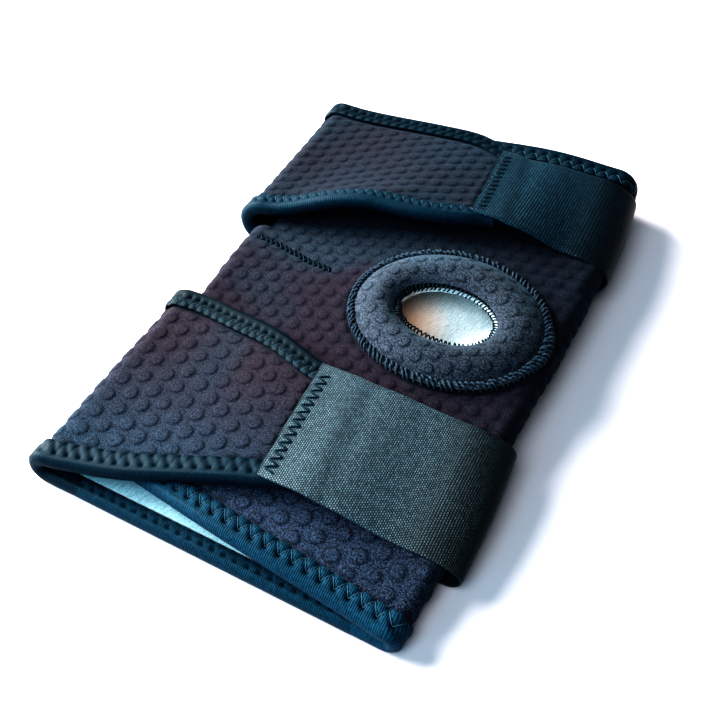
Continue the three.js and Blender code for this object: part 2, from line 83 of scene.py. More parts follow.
# Raised dots of the neoprene, in a lattice of equal triangles: its pitch, the wider pitch at the calf and
# its turn on the front, and each dot's radius as a share of the pitch, its soft side, height and scatter
DOT = dict(pitch=8.0, calf_pitch=9.5, turn=-15.0, radius=0.41, side=1.5, height=0.55, scatter=1.0)
# Shifts of the lattice on the wings and on the ring
WING_SHIFT = (3.0, 2.0)
RING_SHIFT = (2.0, -3.0)
# Share of a dot's height at the level of the cloth, the room without dots beside a tape, and how far the
# cloth is pressed down there
DOT_RISE = 0.5
TAPE_CLEAR = 3.0
PRESSED = 0.5
# Stretches along the leg over which the front's cloth is pulled wider and turned
PULLED = (-100.0, -45.0)
SKEWED = (-95.0, -50.0)


def table(columns, *rows):
    """Rows of numbers under named columns."""
    return dict(zip(columns.split(), np.array(rows, float).T))


# Cross-sections of the sleeve along the leg
SLEEVE = table(
    "y right_x right_top right_floor left_top swell swell_x",
    (-136, 74.5, 9.8, 2.6, 7.9, 5.4, -15),
    (-110, 78.0, 12.2, 4.6, 8.3, 5.0, -10),
    (-75, 79.5, 15.5, 7.5, 8.7, 4.4, 0),
    (-30, 81.5, 19.0, 8.0, 11.5, 3.5, 5),
    (5, 84.0, 21.0, 8.0, 15.5, 3.5, 10),
    (45, 85.5, 22.5, 9.5, 14.5, 3.0, 10),
    (85, 85.5, 22.5, 10.0, 13.5, 1.0, 20),
    (111, 83.5, 22.3, 8.5, 12.5, 1.0, 30),
    (136, 80.5, 22.3, 6.0, 11.5, 2.0, 35),
)

# Cross-sections of the wings along the leg
WING = table(
    "y fold_x fold_top top rise_end",
    (-132, -87.0, 13.5, 22.0, 15),
    (-80, -86.0, 15.5, 23.5, 10),
    (-28, -84.0, 17.0, 24.5, -5),
    (32, -84.5, 22.0, 36.5, -28),
    (80, -85.5, 19.5, 30.5, 0),
    (132, -86.5, 17.0, 23.6, 10),
)

# Outlines of the wings by the place across, and the straps that run on from them
LOWER = dict(
    edges=table(
        "across low high",
        (-125, -131.4, -28.6),
        (-84, -130.4, -28.6),
        (-68, -127.5, -28.4),
        (-48, -123.0, -31.8),
        (-28, -116.5, -35.8),
        (-4, -108.5, -44.4),
        (4, -106.2, -46.0),
        (18, -101.0, -48.5),
    ),
    low=-106.0,
    high=-46.0,
    start_low=3.0,
    start_high=0.0,
    drift=2.0,
    crease=0.45,
    folds=table("y fold_x fold_top", (-106, 87.0, 15.5), (-76, 87.4, 19.0), (-46, 85.6, 21.4)),
)
UPPER = dict(
    edges=table(
        "across low high",
        (-125, 32.6, 133.4),
        (-84, 32.8, 132.6),
        (-68, 35.0, 131.6),
        (-48, 39.6, 131.4),
        (-22, 45.6, 131.0),
        (2, 49.2, 129.6),
        (20, 55.5, 121.5),
        (28, 60.0, 119.0),
        (40, 63.0, 116.5),
    ),
    low=59.5,
    high=119.5,
    start_low=22.0,
    start_high=16.0,
    drift=5.0,
    crease=0.8,
    folds=table("y fold_x fold_top", (59.5, 89.2, 25.6), (90, 88.6, 26.0), (119.5, 85.8, 26.0)),
)

# Small dart that is sewn into the front from its left fold, and the groove along its seam
DART = table("across y", (-71.0, 21.0), (-56.0, 18.6), (-40.0, 14.4), (-27.0, 12.0))
DART_SEAM = dict(start=-73.0, stop=-27.0, width=1.5, depth=0.9)
# Lap of a strap over its wing, its end underneath, its fold's reach, and how the back rises over its end
LAP = 14.0
STRAP_END = 22.0
FOLD_REACH = 20.0
STRAP_RISE = dict(margin=4.0, fade=12.0, start=34.0, stop=2.0)
# Hook tab under a strap's end, the room kept beside it, and the height of its hooks
HOOK_TAB = dict(start=24.0, stop=42.0, inset=4.0, clear=4.0, taper=20.0, tips=0.2)
# Thin woven edges of a strap, and where painted shade darkens its tone: before its fold and into the fold;
# its cut end is darker too
STRAP_EDGE = dict(thin=0.55, width=1.4)
FOLD_SHADE = dict(before=20.0, into=0.4, end=0.6)
# Soft crease across each strap beside its sewn end, and the ridge that follows it
CREASE = dict(at=22.0, ridge=36.0, width=4.5, slant=-0.05)

# Linings: sizes for their grids, and their ends beyond or short of the seams, the free end and the folds
BACK_LINING = dict(width=144.0, length=250.0, left=4.0, drawn=14.0, fade=10.0, right=3.0)
FRONT_LINING = dict(width=140.0, length=250.0, start=6.0, stop=76.0)
# Stretches along the leg where the straps hide the front, and sizes of the front's and the wings' grids
LOWER_HIDES = (-100.0, -48.0)
UPPER_HIDES = 62.0
FRONT_WIDTH = dict(tab=28.0, top=168.0, under=18.0)
WING_SIZE = (135.0, 103.0)
# Leg of a tape on the inside of the panels, and how far a tape stops short of its wing's end
INNER_LEG = 5.5
TAPE_SHORT = 2.6
# How a tape's cut edges are tucked down, and how far it swells between its stitches
TUCK = dict(depth=0.6, width=1.4)
SWELL = 0.5
# How far the linings stop short of the sleeve's ends, clear of the tapes
HEM = INNER_LEG + 0.4

# Radii of the threads
RADIUS = dict(tape=0.24, ring=0.55, rim=0.36, lower_strap=0.44, upper_strap=0.4, dart=0.34)

# Grid spacings of the cloth, fine enough for the dots
FRONT_STEP = 0.9
HIDDEN_STEP = 2.0
WING_STEP = 0.65
BACK_STEP = 1.3
LINING_STEP = 2.0
STRAP_STEP = 1.0
HOOK_STEP = 1.0
TAPE_STEP = 0.9

# Sizes of the patterns: fuzz and loops of the knits and twist of the thread, ribs, hooks, and soft blotches
FUZZ = 0.6
RIB_PITCH = 0.9
HOOK_PITCH = 1.5
BLOTCH = dict(tape=1.4, elastic=2.6, floor=160.0)
# Floats and ribs of the elastic and the gaps between them; the lower strap's floats are a little coarser
# than the usual 0.7 mm, so that they show at the photo's distance
LOWER_WEAVE = {"float": 1.15, "rib": 0.85, "gap": 0.25}
UPPER_WEAVE = {"float": 1.6, "rib": 1.3, "gap": 0.4}
# Streaks of the jersey: their width, how far they are drawn out, and their turn in degrees
STREAK = dict(size=0.8, stretch=6.0, turn=-19.0)
# Painted pool of warm light on the lining beside the opening: its middle, its reach, and the share of that
# where it is full
PAINTED_WARM_LIGHT = dict(x=8.0, y=8.0, reach=27.0, full=0.3)
# Drift in the knit's tone: its size, and which of the noise's patterns it takes
DRIFT = dict(size=55.0, seed=1.0)
# Stretches along the leg, and to the right, over which the knit's tone changes: a shift in its drift, a
# painted blue fill light towards the calf end, and painted shade towards the far end and the right; then the
# stretch over which painted shade darkens the jersey towards the calf end
TONE = dict(lean=(8.0, 28.0), near=(-60.0, -115.0), far=(20.0, 60.0), right=(20.0, 80.0))
MOUTH_SHADE = (-40.0, -100.0)


# Curves and blends
def read(rows, key, at, name):
    """Value of one column of a table, on a smooth curve through its rows."""
    xs, ys = rows[key], rows[name]
    at = np.asarray(at, float)
    k = np.clip(np.searchsorted(xs, at) - 1, 0, len(xs) - 2)
    before, after = np.maximum(k - 1, 0), np.minimum(k + 2, len(xs) - 1)
    span = xs[k + 1] - xs[k]
    t = np.clip((at - xs[k]) / span, 0, 1)
    slope_a = span * (ys[k + 1] - ys[before]) / (xs[k + 1] - xs[before])
    slope_b = span * (ys[after] - ys[k]) / (xs[after] - xs[k])
    rise = ys[k + 1] - ys[k]
    curve = slope_a + slope_b - 2 * rise
    return ys[k] + t * (slope_a + t * (3 * rise - 2 * slope_a - slope_b + t * curve))


def smooth(value, low, high):
    """Soft step from 0 at low to 1 at high."""
    t = np.clip((value - low) / (high - low), 0, 1)
    return t * t * (3 - 2 * t)


def mix(a, b, share):
    return a + (b - a) * share


def within(value, low, high, fade):
    """One inside a range, falling to nothing over a distance outside it."""
    return np.minimum(smooth(value, low - fade, low), 1 - smooth(value, high, high + fade))


def stack(x, y, z):
    return np.stack(np.broadcast_arrays(x, y, z), axis=-1).astype(float)


# Surfaces of the middle of each wall, by the place across and the place along the leg
def back_calf(x):
    return CALF_END + BACK_SLANT["calf"] * np.maximum(0, FRONT_SLANT["start"] - x)


def back_thigh(x):
    return THIGH_END - BACK_SLANT["thigh"] * np.maximum(0, FRONT_SLANT["start"] - x)


def right_fold(y):
    """Heights over and under the sleeve's right fold, and where it starts."""
    top, floor = read(SLEEVE, "y", y, "right_top"), read(SLEEVE, "y", y, "right_floor")
    return top, floor, read(SLEEVE, "y", y, "right_x") - (top - floor) / 2


def underneath(x, y):
    """Height of the wall underneath: flat, raised over tapes and strap ends, curling up at the right."""
    leg = TAPE["leg"]
    calf_tape = 1 - smooth(y, back_calf(x) + leg, back_calf(x) + 3 * leg)
    thigh_tape = smooth(y, back_thigh(x) - 2 * leg, back_thigh(x) - leg)
    notch = within(y, NOTCH["low"] - leg, NOTCH["high"] + leg, NOTCH["fade"])
    notch = notch * (1 - smooth(x, NOTCH["start"], NOTCH["stop"]))
    margin, fade = STRAP_RISE["margin"], STRAP_RISE["fade"]
    over_lower = within(y, LOWER["low"] - margin, LOWER["high"] + LOWER["drift"] + margin, fade)
    over_upper = smooth(y, UPPER["low"] - margin - fade, UPPER["low"] - margin)
    over_end = smooth(x, STRAP_END - STRAP_RISE["start"], STRAP_END - STRAP_RISE["stop"])
    strap_lift = np.maximum(over_lower, over_upper) * over_end
    tape_lift = np.maximum(np.maximum(calf_tape, thigh_tape), notch)
    flat = NEOPRENE / 2 + np.maximum(TAPE_OUT * tape_lift, STRAP_ROOM * strap_lift)
    _, floor, start = right_fold(y)
    return mix(flat, np.maximum(flat, floor), smooth(x, CURL_START, start))


def back_at(x, y):
    return stack(x, y, underneath(x, y))


def sleeve_folds(y):
    """Starts and radii of the sleeve's right and left folds, and the heights at their tops."""
    right_top, _, right = right_fold(y)
    right_radius = (right_top - underneath(right, y)) / 2
    left_top = read(SLEEVE, "y", y, "left_top")
    left_radius = (left_top - underneath(UNDER_LEFT, y)) / 2
    return right, right_radius, right_top, SLEEVE_LEFT + left_radius, left_radius, left_top


def front_at(across, y):
    right, right_radius, right_top, left, left_radius, left_top = sleeve_folds(y)
    right_end, left_end = right + math.pi * right_radius, left - math.pi * left_radius
    right_turn = np.clip((across - right) / right_radius, 0, math.pi)
    left_turn = np.clip((left - across) / left_radius, 0, math.pi)
    t = np.clip((across - left) / (right - left), 1e-6, 1)
    peak = (read(SLEEVE, "y", y, "swell_x") - left) / (right - left)
    swell = np.sin(math.pi * t ** (math.log(0.5) / np.log(peak))) ** 2
    top = mix(left_top, right_top, smooth(t, 0, 1)) + read(SLEEVE, "y", y, "swell") * swell
    under_right = right - np.maximum(across - right_end, 0)
    under_left = left + np.maximum(left_end - across, 0)
    parts = [across > right_end, across > right, across < left_end, across < left]
    x = np.select(
        parts,
        [
            under_right,
            right + right_radius * np.sin(right_turn),
            under_left,
            left - left_radius * np.sin(left_turn),
        ],
        across,
    )
    z = np.select(
        parts,
        [
            underneath(under_right, y),
            right_top - right_radius * (1 - np.cos(right_turn)),
            underneath(under_left, y),
            left_top - left_radius * (1 - np.cos(left_turn)),
        ],
        top,
    )
    return stack(x, y, z)


def wing_fold(y):
    """Height at the top of a wing's left fold, its radius, and where it starts."""
    fold_top = read(WING, "y", y, "fold_top")
    radius = (fold_top - underneath(UNDER_LEFT, y)) / 2
    return fold_top, radius, read(WING, "y", y, "fold_x") + radius


def wing_at(across, y):
    fold_top, radius, start = wing_fold(y)
    fold_end = start - math.pi * radius
    turn = np.clip((start - across) / radius, 0, math.pi)
    rise = smooth(across, start, read(WING, "y", y, "rise_end"))
    under = start + np.maximum(fold_end - across, 0)
    parts = [across >= start, across < fold_end]
    x = np.select(parts, [across, under], start - radius * np.sin(turn))
    top = mix(fold_top, read(WING, "y", y, "top"), rise)
    z = np.select(parts, [top, underneath(under, y)], fold_top - radius * (1 - np.cos(turn)))
    return stack(x, y, z)


def strap_start(strap, y):
    return mix(strap["start_low"], strap["start_high"], (y - strap["low"]) / (strap["high"] - strap["low"]))


def strap_floor(x, y):
    """Height of a strap underneath: room for the hooks further in, and close to the panel at the fold."""
    beside = HOOK_TAB["stop"] + HOOK_TAB["clear"]
    room = mix(STRAP_ROOM, ELASTIC + 2 * GAP, smooth(x, beside, beside + HOOK_TAB["taper"]))
    return np.maximum(ELASTIC / 2, underneath(x, y) - NEOPRENE / 2 - room + ELASTIC / 2)


def strap_fold(strap, y):
    """Top of a strap's fold, where it starts, its lengths over and under the turn, and its lower radius."""
    fold_x, fold_top = read(strap["folds"], "y", y, "fold_x"), read(strap["folds"], "y", y, "fold_top")
    radius = (fold_top - strap_floor(fold_x, y)) / 2
    over = math.pi / 2 * np.sqrt((FOLD_REACH**2 + radius**2) / 2)
    return fold_top, fold_x - FOLD_REACH, over, math.pi / 2 * radius, radius


def strap_at(strap):
    """Surface of one strap: from its sewn end down to the right fold, round it and underneath."""

    def surface(across, y):
        fold_top, start, over, below, radius = strap_fold(strap, y)
        sewn_end = strap_start(strap, y) + LAP
        turn = np.clip((across - start) / over, 0, 1) + np.clip((across - start - over) / below, 0, 1)
        turn = turn * math.pi / 2
        fall = smooth(across, sewn_end, start)
        under = start + FOLD_REACH - radius - np.maximum(across - start - over - below, 0)
        sewn = read(WING, "y", y, "top") + NEOPRENE / 2 + TAPE_OUT + GAP + ELASTIC / 2
        past = across > start + over
        x = np.select(
            [turn >= math.pi, past, across > start],
            [under, start + FOLD_REACH - radius * (1 - np.sin(turn)), start + FOLD_REACH * np.sin(turn)],
            across,
        )
        fold = fold_top - radius * (1 - np.cos(turn))
        level = mix(sewn, fold_top, fall)
        z = np.select([turn >= math.pi, across > start], [strap_floor(under, y), fold], level)
        return stack(x, y + strap["drift"] * fall, z)

    return surface


def strap_length(strap, y):
    """Place across where a strap ends underneath."""
    _, start, over, below, radius = strap_fold(strap, y)
    return start + over + below + (start + FOLD_REACH - radius - STRAP_END)


def sample(surface, across, y):
    """Points of a surface and their normals, which point up where the place across grows with x."""
    step = 0.05
    along = surface(across, y + step) - surface(across, y - step)
    over = surface(across + step, y) - surface(across - step, y)
    normal = np.cross(over, along)
    return surface(across, y), normal / np.linalg.norm(normal, axis=-1, keepdims=True)


def above(surface, across, y, height):
    """Points at heights over a surface."""
    points, normals = sample(surface, across, y)
    return points + normals * height[..., None]


# Outlines of the panels
def front_seams(y):
    """Places across of the front's seams underneath, at the left and the right."""
    right, right_radius, _, left, left_radius, _ = sleeve_folds(y)
    left_seam = left - math.pi * left_radius - (SEAM_LEFT - GAP / 2 - left)
    return left_seam, right + math.pi * right_radius + (right - SEAM_RIGHT - GAP / 2)


def front_calf(across):
    reach = np.maximum(0, FRONT_SLANT["start"] - across)
    bow = FRONT_SLANT["bow"] * np.sin(math.pi * reach / FRONT_SLANT["bow_span"]) ** 2
    top = CALF_END + FRONT_SLANT["calf"] * reach - bow
    return np.where(across > right_fold(CALF_END)[2], back_calf(front_at(across, CALF_END)[..., 0]), top)


def front_thigh(across):
    top = THIGH_END - FRONT_SLANT["thigh"] * np.maximum(0, FRONT_SLANT["start"] - across)
    return np.where(across > right_fold(THIGH_END)[2], back_thigh(front_at(across, THIGH_END)[..., 0]), top)


def wing_ends(strap, y):
    """Places across of a wing's seam underneath and of its end under the strap."""
    _, radius, start = wing_fold(y)
    seam = start - math.pi * radius - (SEAM_LEFT - GAP / 2 - start)
    return seam, strap_start(strap, np.clip(y, strap["low"], strap["high"])) + LAP


def outwards(x, y, oval):
    """How far out a place is from the middle of an oval: 1 on its edge."""
    return np.hypot((x - oval["x"]) / oval["across"], (y - oval["y"]) / oval["along"])


# Raised dots
def hashed(i, j):
    """Repeatable number from 0 to 1 for each dot."""
    return np.modf(np.abs(np.sin(i * 12.9898 + j * 78.233) * 43758.5453))[0]


STRETCH_ALONG = np.linspace(-150, 150, 301)
STRETCH = mix(DOT["pitch"] / DOT["calf_pitch"], 1, smooth(STRETCH_ALONG, *PULLED))
STRETCHED = np.cumsum(STRETCH)


def stretched(across, y):
    """Places on the flat cloth of the front, which is pulled wider, longer and askew towards the calf."""
    u, v = across * np.interp(y, STRETCH_ALONG, STRETCH), np.interp(y, STRETCH_ALONG, STRETCHED)
    turn = math.radians(DOT["turn"]) * smooth(y, *SKEWED)
    return u * np.cos(turn) + v * np.sin(turn), v * np.cos(turn) - u * np.sin(turn)


def dots(u, v, pitch=DOT["pitch"]):
    """Share of a dot's height at flat places on the cloth, a little different from dot to dot."""
    width = pitch * math.sqrt(3) / 2
    column = np.rint(u / width)
    best = np.zeros(np.broadcast(u, v).shape)
    for i in (column - 1, column, column + 1):
        shift = np.mod(i, 2) * pitch / 2
        j = np.rint((v - shift) / pitch)
        du = u - i * width - DOT["scatter"] * (hashed(i, j) - 0.5)
        dv = v - shift - j * pitch - DOT["scatter"] * (hashed(j, i) - 0.5)
        radius = DOT["radius"] * pitch * (0.95 + 0.1 * hashed(i + 7, j))
        rim = smooth(radius - np.hypot(du, dv), 0, DOT["side"])
        best = np.maximum(best, rim * (0.8 + 0.2 * hashed(i, j + 3)))
    return best


# Mesh making
def linked(name, data):
    """New object in the scene."""
    made = bpy.data.objects.new(name, data)
    bpy.context.scene.collection.objects.link(made)
    return made


def finished(name, bm, points, marks, material, crease=40):
    """Object from a shaped bmesh, with its points in millimetres and its named marks on the points."""
    for vert, place in zip(bm.verts, points * MM):
        vert.co = place
    bmesh.ops.recalc_face_normals(bm, faces=bm.faces[:])
    mesh = bpy.data.meshes.new(name)
    bm.to_mesh(mesh)
    bm.free()
    for label, values in marks.items():
        kind, field = ("FLOAT_VECTOR", "vector") if values.ndim == 2 else ("FLOAT", "value")
        mesh.attributes.new(label, kind, "POINT").data.foreach_set(field, values.astype(np.float32).ravel())
    mesh.update()
    mesh.shade_smooth()
    mesh.set_sharp_from_angle(angle=math.radians(crease))
    mesh.materials.append(material)
    return linked(name, mesh)


def grid_places(bm, columns, rows):
    """Column and row of each vertex of a grid bmesh, and whether it is on the raised copy."""
    co = np.array([v.co for v in bm.verts])
    column = np.rint((co[:, 0] + 1) / 2 * (columns - 1)).astype(int)
    row = np.rint((co[:, 1] + 1) / 2 * (rows - 1)).astype(int)
    return column, row, co[:, 2] > 0.5


def wall(name, outer, inner, material, keep=None, crease=40, **marks):
    """Closed wall of cloth between two grids of points; cells that aren't kept are left open."""
    columns, rows = outer.shape[:2]
    bm = bmesh.new()
    bmesh.ops.create_grid(bm, x_segments=columns - 1, y_segments=rows - 1, size=1)
    if keep is not None:
        middles = np.array([f.calc_center_median()[:2] for f in bm.faces])
        cells = ((middles + 1) / 2 * (columns - 1, rows - 1)).astype(int)
        dropped = [f for f, (i, j) in zip(bm.faces, cells) if not keep[i, j]]
        bmesh.ops.delete(bm, geom=dropped, context="FACES")
    raised = bmesh.ops.extrude_face_region(bm, geom=bm.faces[:])["geom"]
    bmesh.ops.translate(bm, verts=[g for g in raised if isinstance(g, bmesh.types.BMVert)], vec=(0, 0, 1))
    column, row, top = grid_places(bm, columns, rows)
    points = np.where(top[:, None], outer[column, row], inner[column, row])
    marks = {label: values[column, row] for label, values in marks.items()}
    return finished(name, bm, points, marks, material, crease)


def loop(name, points, material, **marks):
    """Closed solid from a grid of points that runs round to its start both ways."""
    columns, rows = points.shape[:2]
    bm = bmesh.new()
    bmesh.ops.create_grid(bm, x_segments=columns, y_segments=rows, size=1)
    column, row, _ = grid_places(bm, columns + 1, rows + 1)
    column, row = column % columns, row % rows
    number = bm.verts.layers.int.new("number")
    for vert, place, own in zip(bm.verts, points[column, row], column * rows + row):
        vert.co = place
        vert[number] = int(own)
    bmesh.ops.remove_doubles(bm, verts=bm.verts[:], dist=1e-5)
    column, row = np.divmod([v[number] for v in bm.verts], rows)
    marks = {label: values[column, row] for label, values in marks.items()}
    return finished(name, bm, points[column, row], marks, material)


def thread(name, runs, radius, material, smoothness=3):
    """Sewing thread along runs of points, as round tubes."""
    curve = bpy.data.curves.new(name, "CURVE")
    curve.dimensions = "3D"
    curve.bevel_depth = radius * MM
    curve.bevel_resolution = 1
    curve.resolution_u = smoothness
    curve.use_fill_caps = True
    for run in runs:
        spline = curve.splines.new("NURBS")
        spline.points.add(len(run) - 1)
        spline.points.foreach_set("co", np.column_stack([run * MM, np.ones(len(run))]).ravel())
        spline.use_endpoint_u = True
        spline.order_u = 3
    source = bpy.data.objects.new(name + "_line", curve)
    mesh = bpy.data.meshes.new_from_object(source)
    bpy.data.objects.remove(source)
    bpy.data.curves.remove(curve)
    mesh.name = name
    mesh.shade_smooth()
    mesh.materials.clear()
    mesh.materials.append(material)
    return linked(name, mesh)


# Materials
def linear(code):
    """Linear colour of an sRGB hex code."""
    parts = [int(code[k : k + 2], 16) / 255 for k in (1, 3, 5)]
    return (*[c / 12.92 if c <= 0.04045 else ((c + 0.055) / 1.055) ** 2.4 for c in parts], 1.0)


def add(owner, kind, inputs, output=None, **settings):
    """Output of a new shader node, its first unless named; an input is a value or another node's output."""
    tree = owner.node_tree
    node = tree.nodes.new("ShaderNode" + kind)
    for label, value in settings.items():
        setattr(node, label, value)
    for socket, value in inputs.items():
        if isinstance(value, bpy.types.NodeSocket):
            tree.links.new(value, node.inputs[socket])
        else:
            node.inputs[socket].default_value = value
    return node.outputs[output] if output else next((o for o in node.outputs if o.enabled), None)


def new_material(name, finish, *colours):
    """Material whose finish gives the shader's inputs, from the places on the piece and its colours."""
    m = bpy.data.materials.new(name)
    m.use_nodes = True
    m.node_tree.nodes.clear()
    place = add(m, "TexCoord", {}, "Object")
    shader = add(m, "BsdfPrincipled", finish(m, place, *colours))
    add(m, "OutputMaterial", {"Surface": shader})
    return m


def per_metre(size_mm):
    """Texture scale on object coordinates for a pattern of this size."""
    return 1 / (size_mm * MM)


def reach(span):
    """Ends of a map range on object coordinates, from a span in millimetres."""
    return {"From Min": span[0] * MM, "From Max": span[1] * MM}


# Brushed polyester knit laminated to neoprene and embossed with dots: matt, with a soft fuzz that pales the
# dots' tops, painted shade that darkens the dots' sides into dark furrows at their feet, and a faint drift
# from blue to brown as the nap lies one way or the other; a painted blue fill light tints it towards the
# calf end, and painted shade darkens it towards the far end and the right
def dotted_knit(m, place, crease, cool, warm, near, sheen):
    across = add(m, "SeparateXYZ", {"Vector": place}, "X")
    along = add(m, "SeparateXYZ", {"Vector": place}, "Y")
    dot = add(m, "Attribute", {}, "Fac", attribute_name="dot")
    fuzz = add(m, "TexNoise", {"Vector": place, "Scale": per_metre(FUZZ), "Detail": 4.0, "Roughness": 0.75})
    drift = add(
        m,
        "TexNoise",
        {"Vector": place, "W": DRIFT["seed"], "Scale": per_metre(DRIFT["size"]), "Detail": 1.0},
        noise_dimensions="4D",
    )
    lean = add(m, "MapRange", {"Value": along, **reach(TONE["lean"]), "To Min": 0.07, "To Max": -0.06})
    turned = add(m, "Math", {0: drift, 1: lean}, operation="ADD")
    side = add(m, "MapRange", {"Value": turned, "From Min": 0.32, "From Max": 0.52})
    # Painted blue fill light: the tone turns to the near colour towards the calf end
    painted_fill_share = add(m, "MapRange", {"Value": along, **reach(TONE["near"])})
    far_tone = add(m, "Mix", {"Factor": side, "A": linear(cool), "B": linear(warm)}, data_type="RGBA")
    tone = add(m, "Mix", {"Factor": painted_fill_share, "A": far_tone, "B": linear(near)}, data_type="RGBA")
    # Painted shade: darker towards the far end and towards the right, taken off the fuzz's specks
    far_shade = add(m, "MapRange", {"Value": along, **reach(TONE["far"]), "To Max": 0.28})
    right_shade = add(m, "MapRange", {"Value": across, **reach(TONE["right"]), "To Max": 0.3})
    shade = add(m, "Math", {0: far_shade, 1: right_shade}, operation="ADD")
    speck = add(m, "MapRange", {"Value": fuzz, "From Min": 0.4, "From Max": 0.6})
    fuzz_less_shade = add(m, "Math", {0: speck, 1: shade}, operation="SUBTRACT")
    # Painted shade: each dot's sides darken towards the crease colour, most at the dot's foot
    rim = add(m, "MapRange", {"Value": dot, "From Max": 0.78})
    rest = add(m, "Math", {0: 1.0, 1: rim}, operation="SUBTRACT")
    foot = add(m, "Math", {0: rim, 1: rest}, operation="MULTIPLY")
    dot_foot_shade = add(m, "MapRange", {"Value": foot, "From Max": 0.25, "To Min": 1.0, "To Max": 0.45})
    share = add(m, "Math", {0: fuzz_less_shade, 1: dot_foot_shade}, operation="MULTIPLY", use_clamp=True)
    colour = add(m, "Mix", {"Factor": share, "A": linear(crease), "B": tone}, data_type="RGBA")
    bump = add(m, "Bump", {"Height": fuzz, "Strength": 0.5, "Distance": 0.4 * MM})
    return {
        "Base Color": colour,
        "Normal": bump,
        "Roughness": 0.9,
        "Specular IOR Level": 0.1,
        "Sheen Weight": 0.12,
        "Sheen Roughness": 0.45,
        "Sheen Tint": linear(sheen),
    }


# Cotton-blend jersey in a grey melange: matt, with long pale and dark streaks along the knitted courses, a
# painted pool of warm light beside the opening, and painted shade that greys it towards the calf end
def melange_jersey(m, place, dark, pale, warm_light, mouth_shade_tint):
    courses = {
        "Vector": place,
        "Rotation": (0, 0, math.radians(STREAK["turn"])),
        "Scale": (1, STREAK["stretch"], 1),
    }
    turned = add(m, "Mapping", courses, vector_type="TEXTURE")
    streak = add(
        m,
        "TexNoise",
        {"Vector": turned, "Scale": per_metre(STREAK["size"]), "Detail": 4.0, "Roughness": 0.65},
    )
    loops = add(m, "TexNoise", {"Vector": place, "Scale": per_metre(FUZZ), "Detail": 2.0})
    tone = add(m, "Math", {0: streak, 1: loops}, operation="ADD")
    share = add(m, "MapRange", {"Value": tone, "From Min": 0.75, "From Max": 1.2})
    clean = add(m, "Mix", {"Factor": share, "A": linear(dark), "B": linear(pale)}, data_type="RGBA")
    # Painted warm light: a pale warm patch on the lining beside the opening
    middle = (PAINTED_WARM_LIGHT["x"] * MM, PAINTED_WARM_LIGHT["y"] * MM, 0)
    from_warm_light = add(m, "VectorMath", {0: place, 1: middle}, operation="DISTANCE")
    warm_light_span = (PAINTED_WARM_LIGHT["full"] * PAINTED_WARM_LIGHT["reach"], PAINTED_WARM_LIGHT["reach"])
    warm_light_share = add(m, "MapRange", {"Value": from_warm_light, **reach(warm_light_span), "To Min": 0.8, "To Max": 0.0})
    inner = add(m, "Mix", {"Factor": warm_light_share, "A": clean, "B": linear(warm_light)}, data_type="RGBA")
    # Painted shade: the jersey darkens to a teal grey towards the calf end, inside the sleeve's mouth
    along = add(m, "SeparateXYZ", {"Vector": place}, "Y")
    mouth_shade = add(m, "MapRange", {"Value": along, **reach(MOUTH_SHADE)})
    colour = add(
        m,
        "Mix",
        {"Factor": mouth_shade, "A": inner, "B": linear(mouth_shade_tint)},
        data_type="RGBA",
        blend_type="MULTIPLY",
    )
    bump = add(m, "Bump", {"Height": loops, "Strength": 0.4, "Distance": 0.3 * MM})
    return {
        "Base Color": colour,
        "Normal": bump,
        "Roughness": 0.95,
        "Specular IOR Level": 0.2,
        "Sheen Weight": 0.2,
        "Sheen Roughness": 0.5,
    }


# Ribbed polyester binding tape: fine ribs straight across the tape, a low silky gloss along them, painted
# shade where the seam pulls it in, and a painted sheen that pales the stretches marked for it
def ribbed_tape(m, place, groove, plain_rib, sheen_rib):
    flat = add(m, "Attribute", {}, "Vector", attribute_name="flat")
    bands = {
        "Vector": flat,
        "Scale": math.tau / 20 / RIB_PITCH,
        "Distortion": 0.6,
        "Detail": 1.0,
        "Detail Scale": 1.5,
    }
    ribs = add(m, "TexWave", bands, "Fac", wave_type="BANDS", bands_direction="X")
    blotch = add(m, "TexNoise", {"Vector": place, "Scale": per_metre(BLOTCH["tape"]), "Detail": 3.0})
    fine = add(m, "MapRange", {"Value": ribs, "To Min": 0.4})
    tone = add(m, "Math", {0: fine, 1: blotch}, operation="MULTIPLY")
    # Painted shade in the puckers: the tape darkens where the seam pulls it in
    sunk = add(m, "Attribute", {}, "Fac", attribute_name="sunk")
    lit = add(m, "MapRange", {"Value": sunk, "From Max": 0.8, "To Min": 1.0, "To Max": 0.35})
    share = add(m, "Math", {0: tone, 1: lit}, operation="MULTIPLY")
    # Painted sheen: stretches marked for it take the paler rib colour
    worn = add(m, "Attribute", {}, "Fac", attribute_name="worn")
    rib = add(m, "Mix", {"Factor": worn, "A": linear(plain_rib), "B": linear(sheen_rib)}, data_type="RGBA")
    colour = add(m, "Mix", {"Factor": share, "A": linear(groove), "B": rib}, data_type="RGBA")
    bump = add(m, "Bump", {"Height": ribs, "Strength": 0.4, "Distance": 0.25 * MM})
    return {
        "Base Color": colour,
        "Normal": bump,
        "Roughness": 0.6,
        "Specular IOR Level": 0.15,
        "Specular Tint": linear("#4f9fbe"),
        "Sheen Weight": 0.05,
        "Sheen Roughness": 0.4,
        "Sheen Tint": linear("#3f8fb0"),
    }


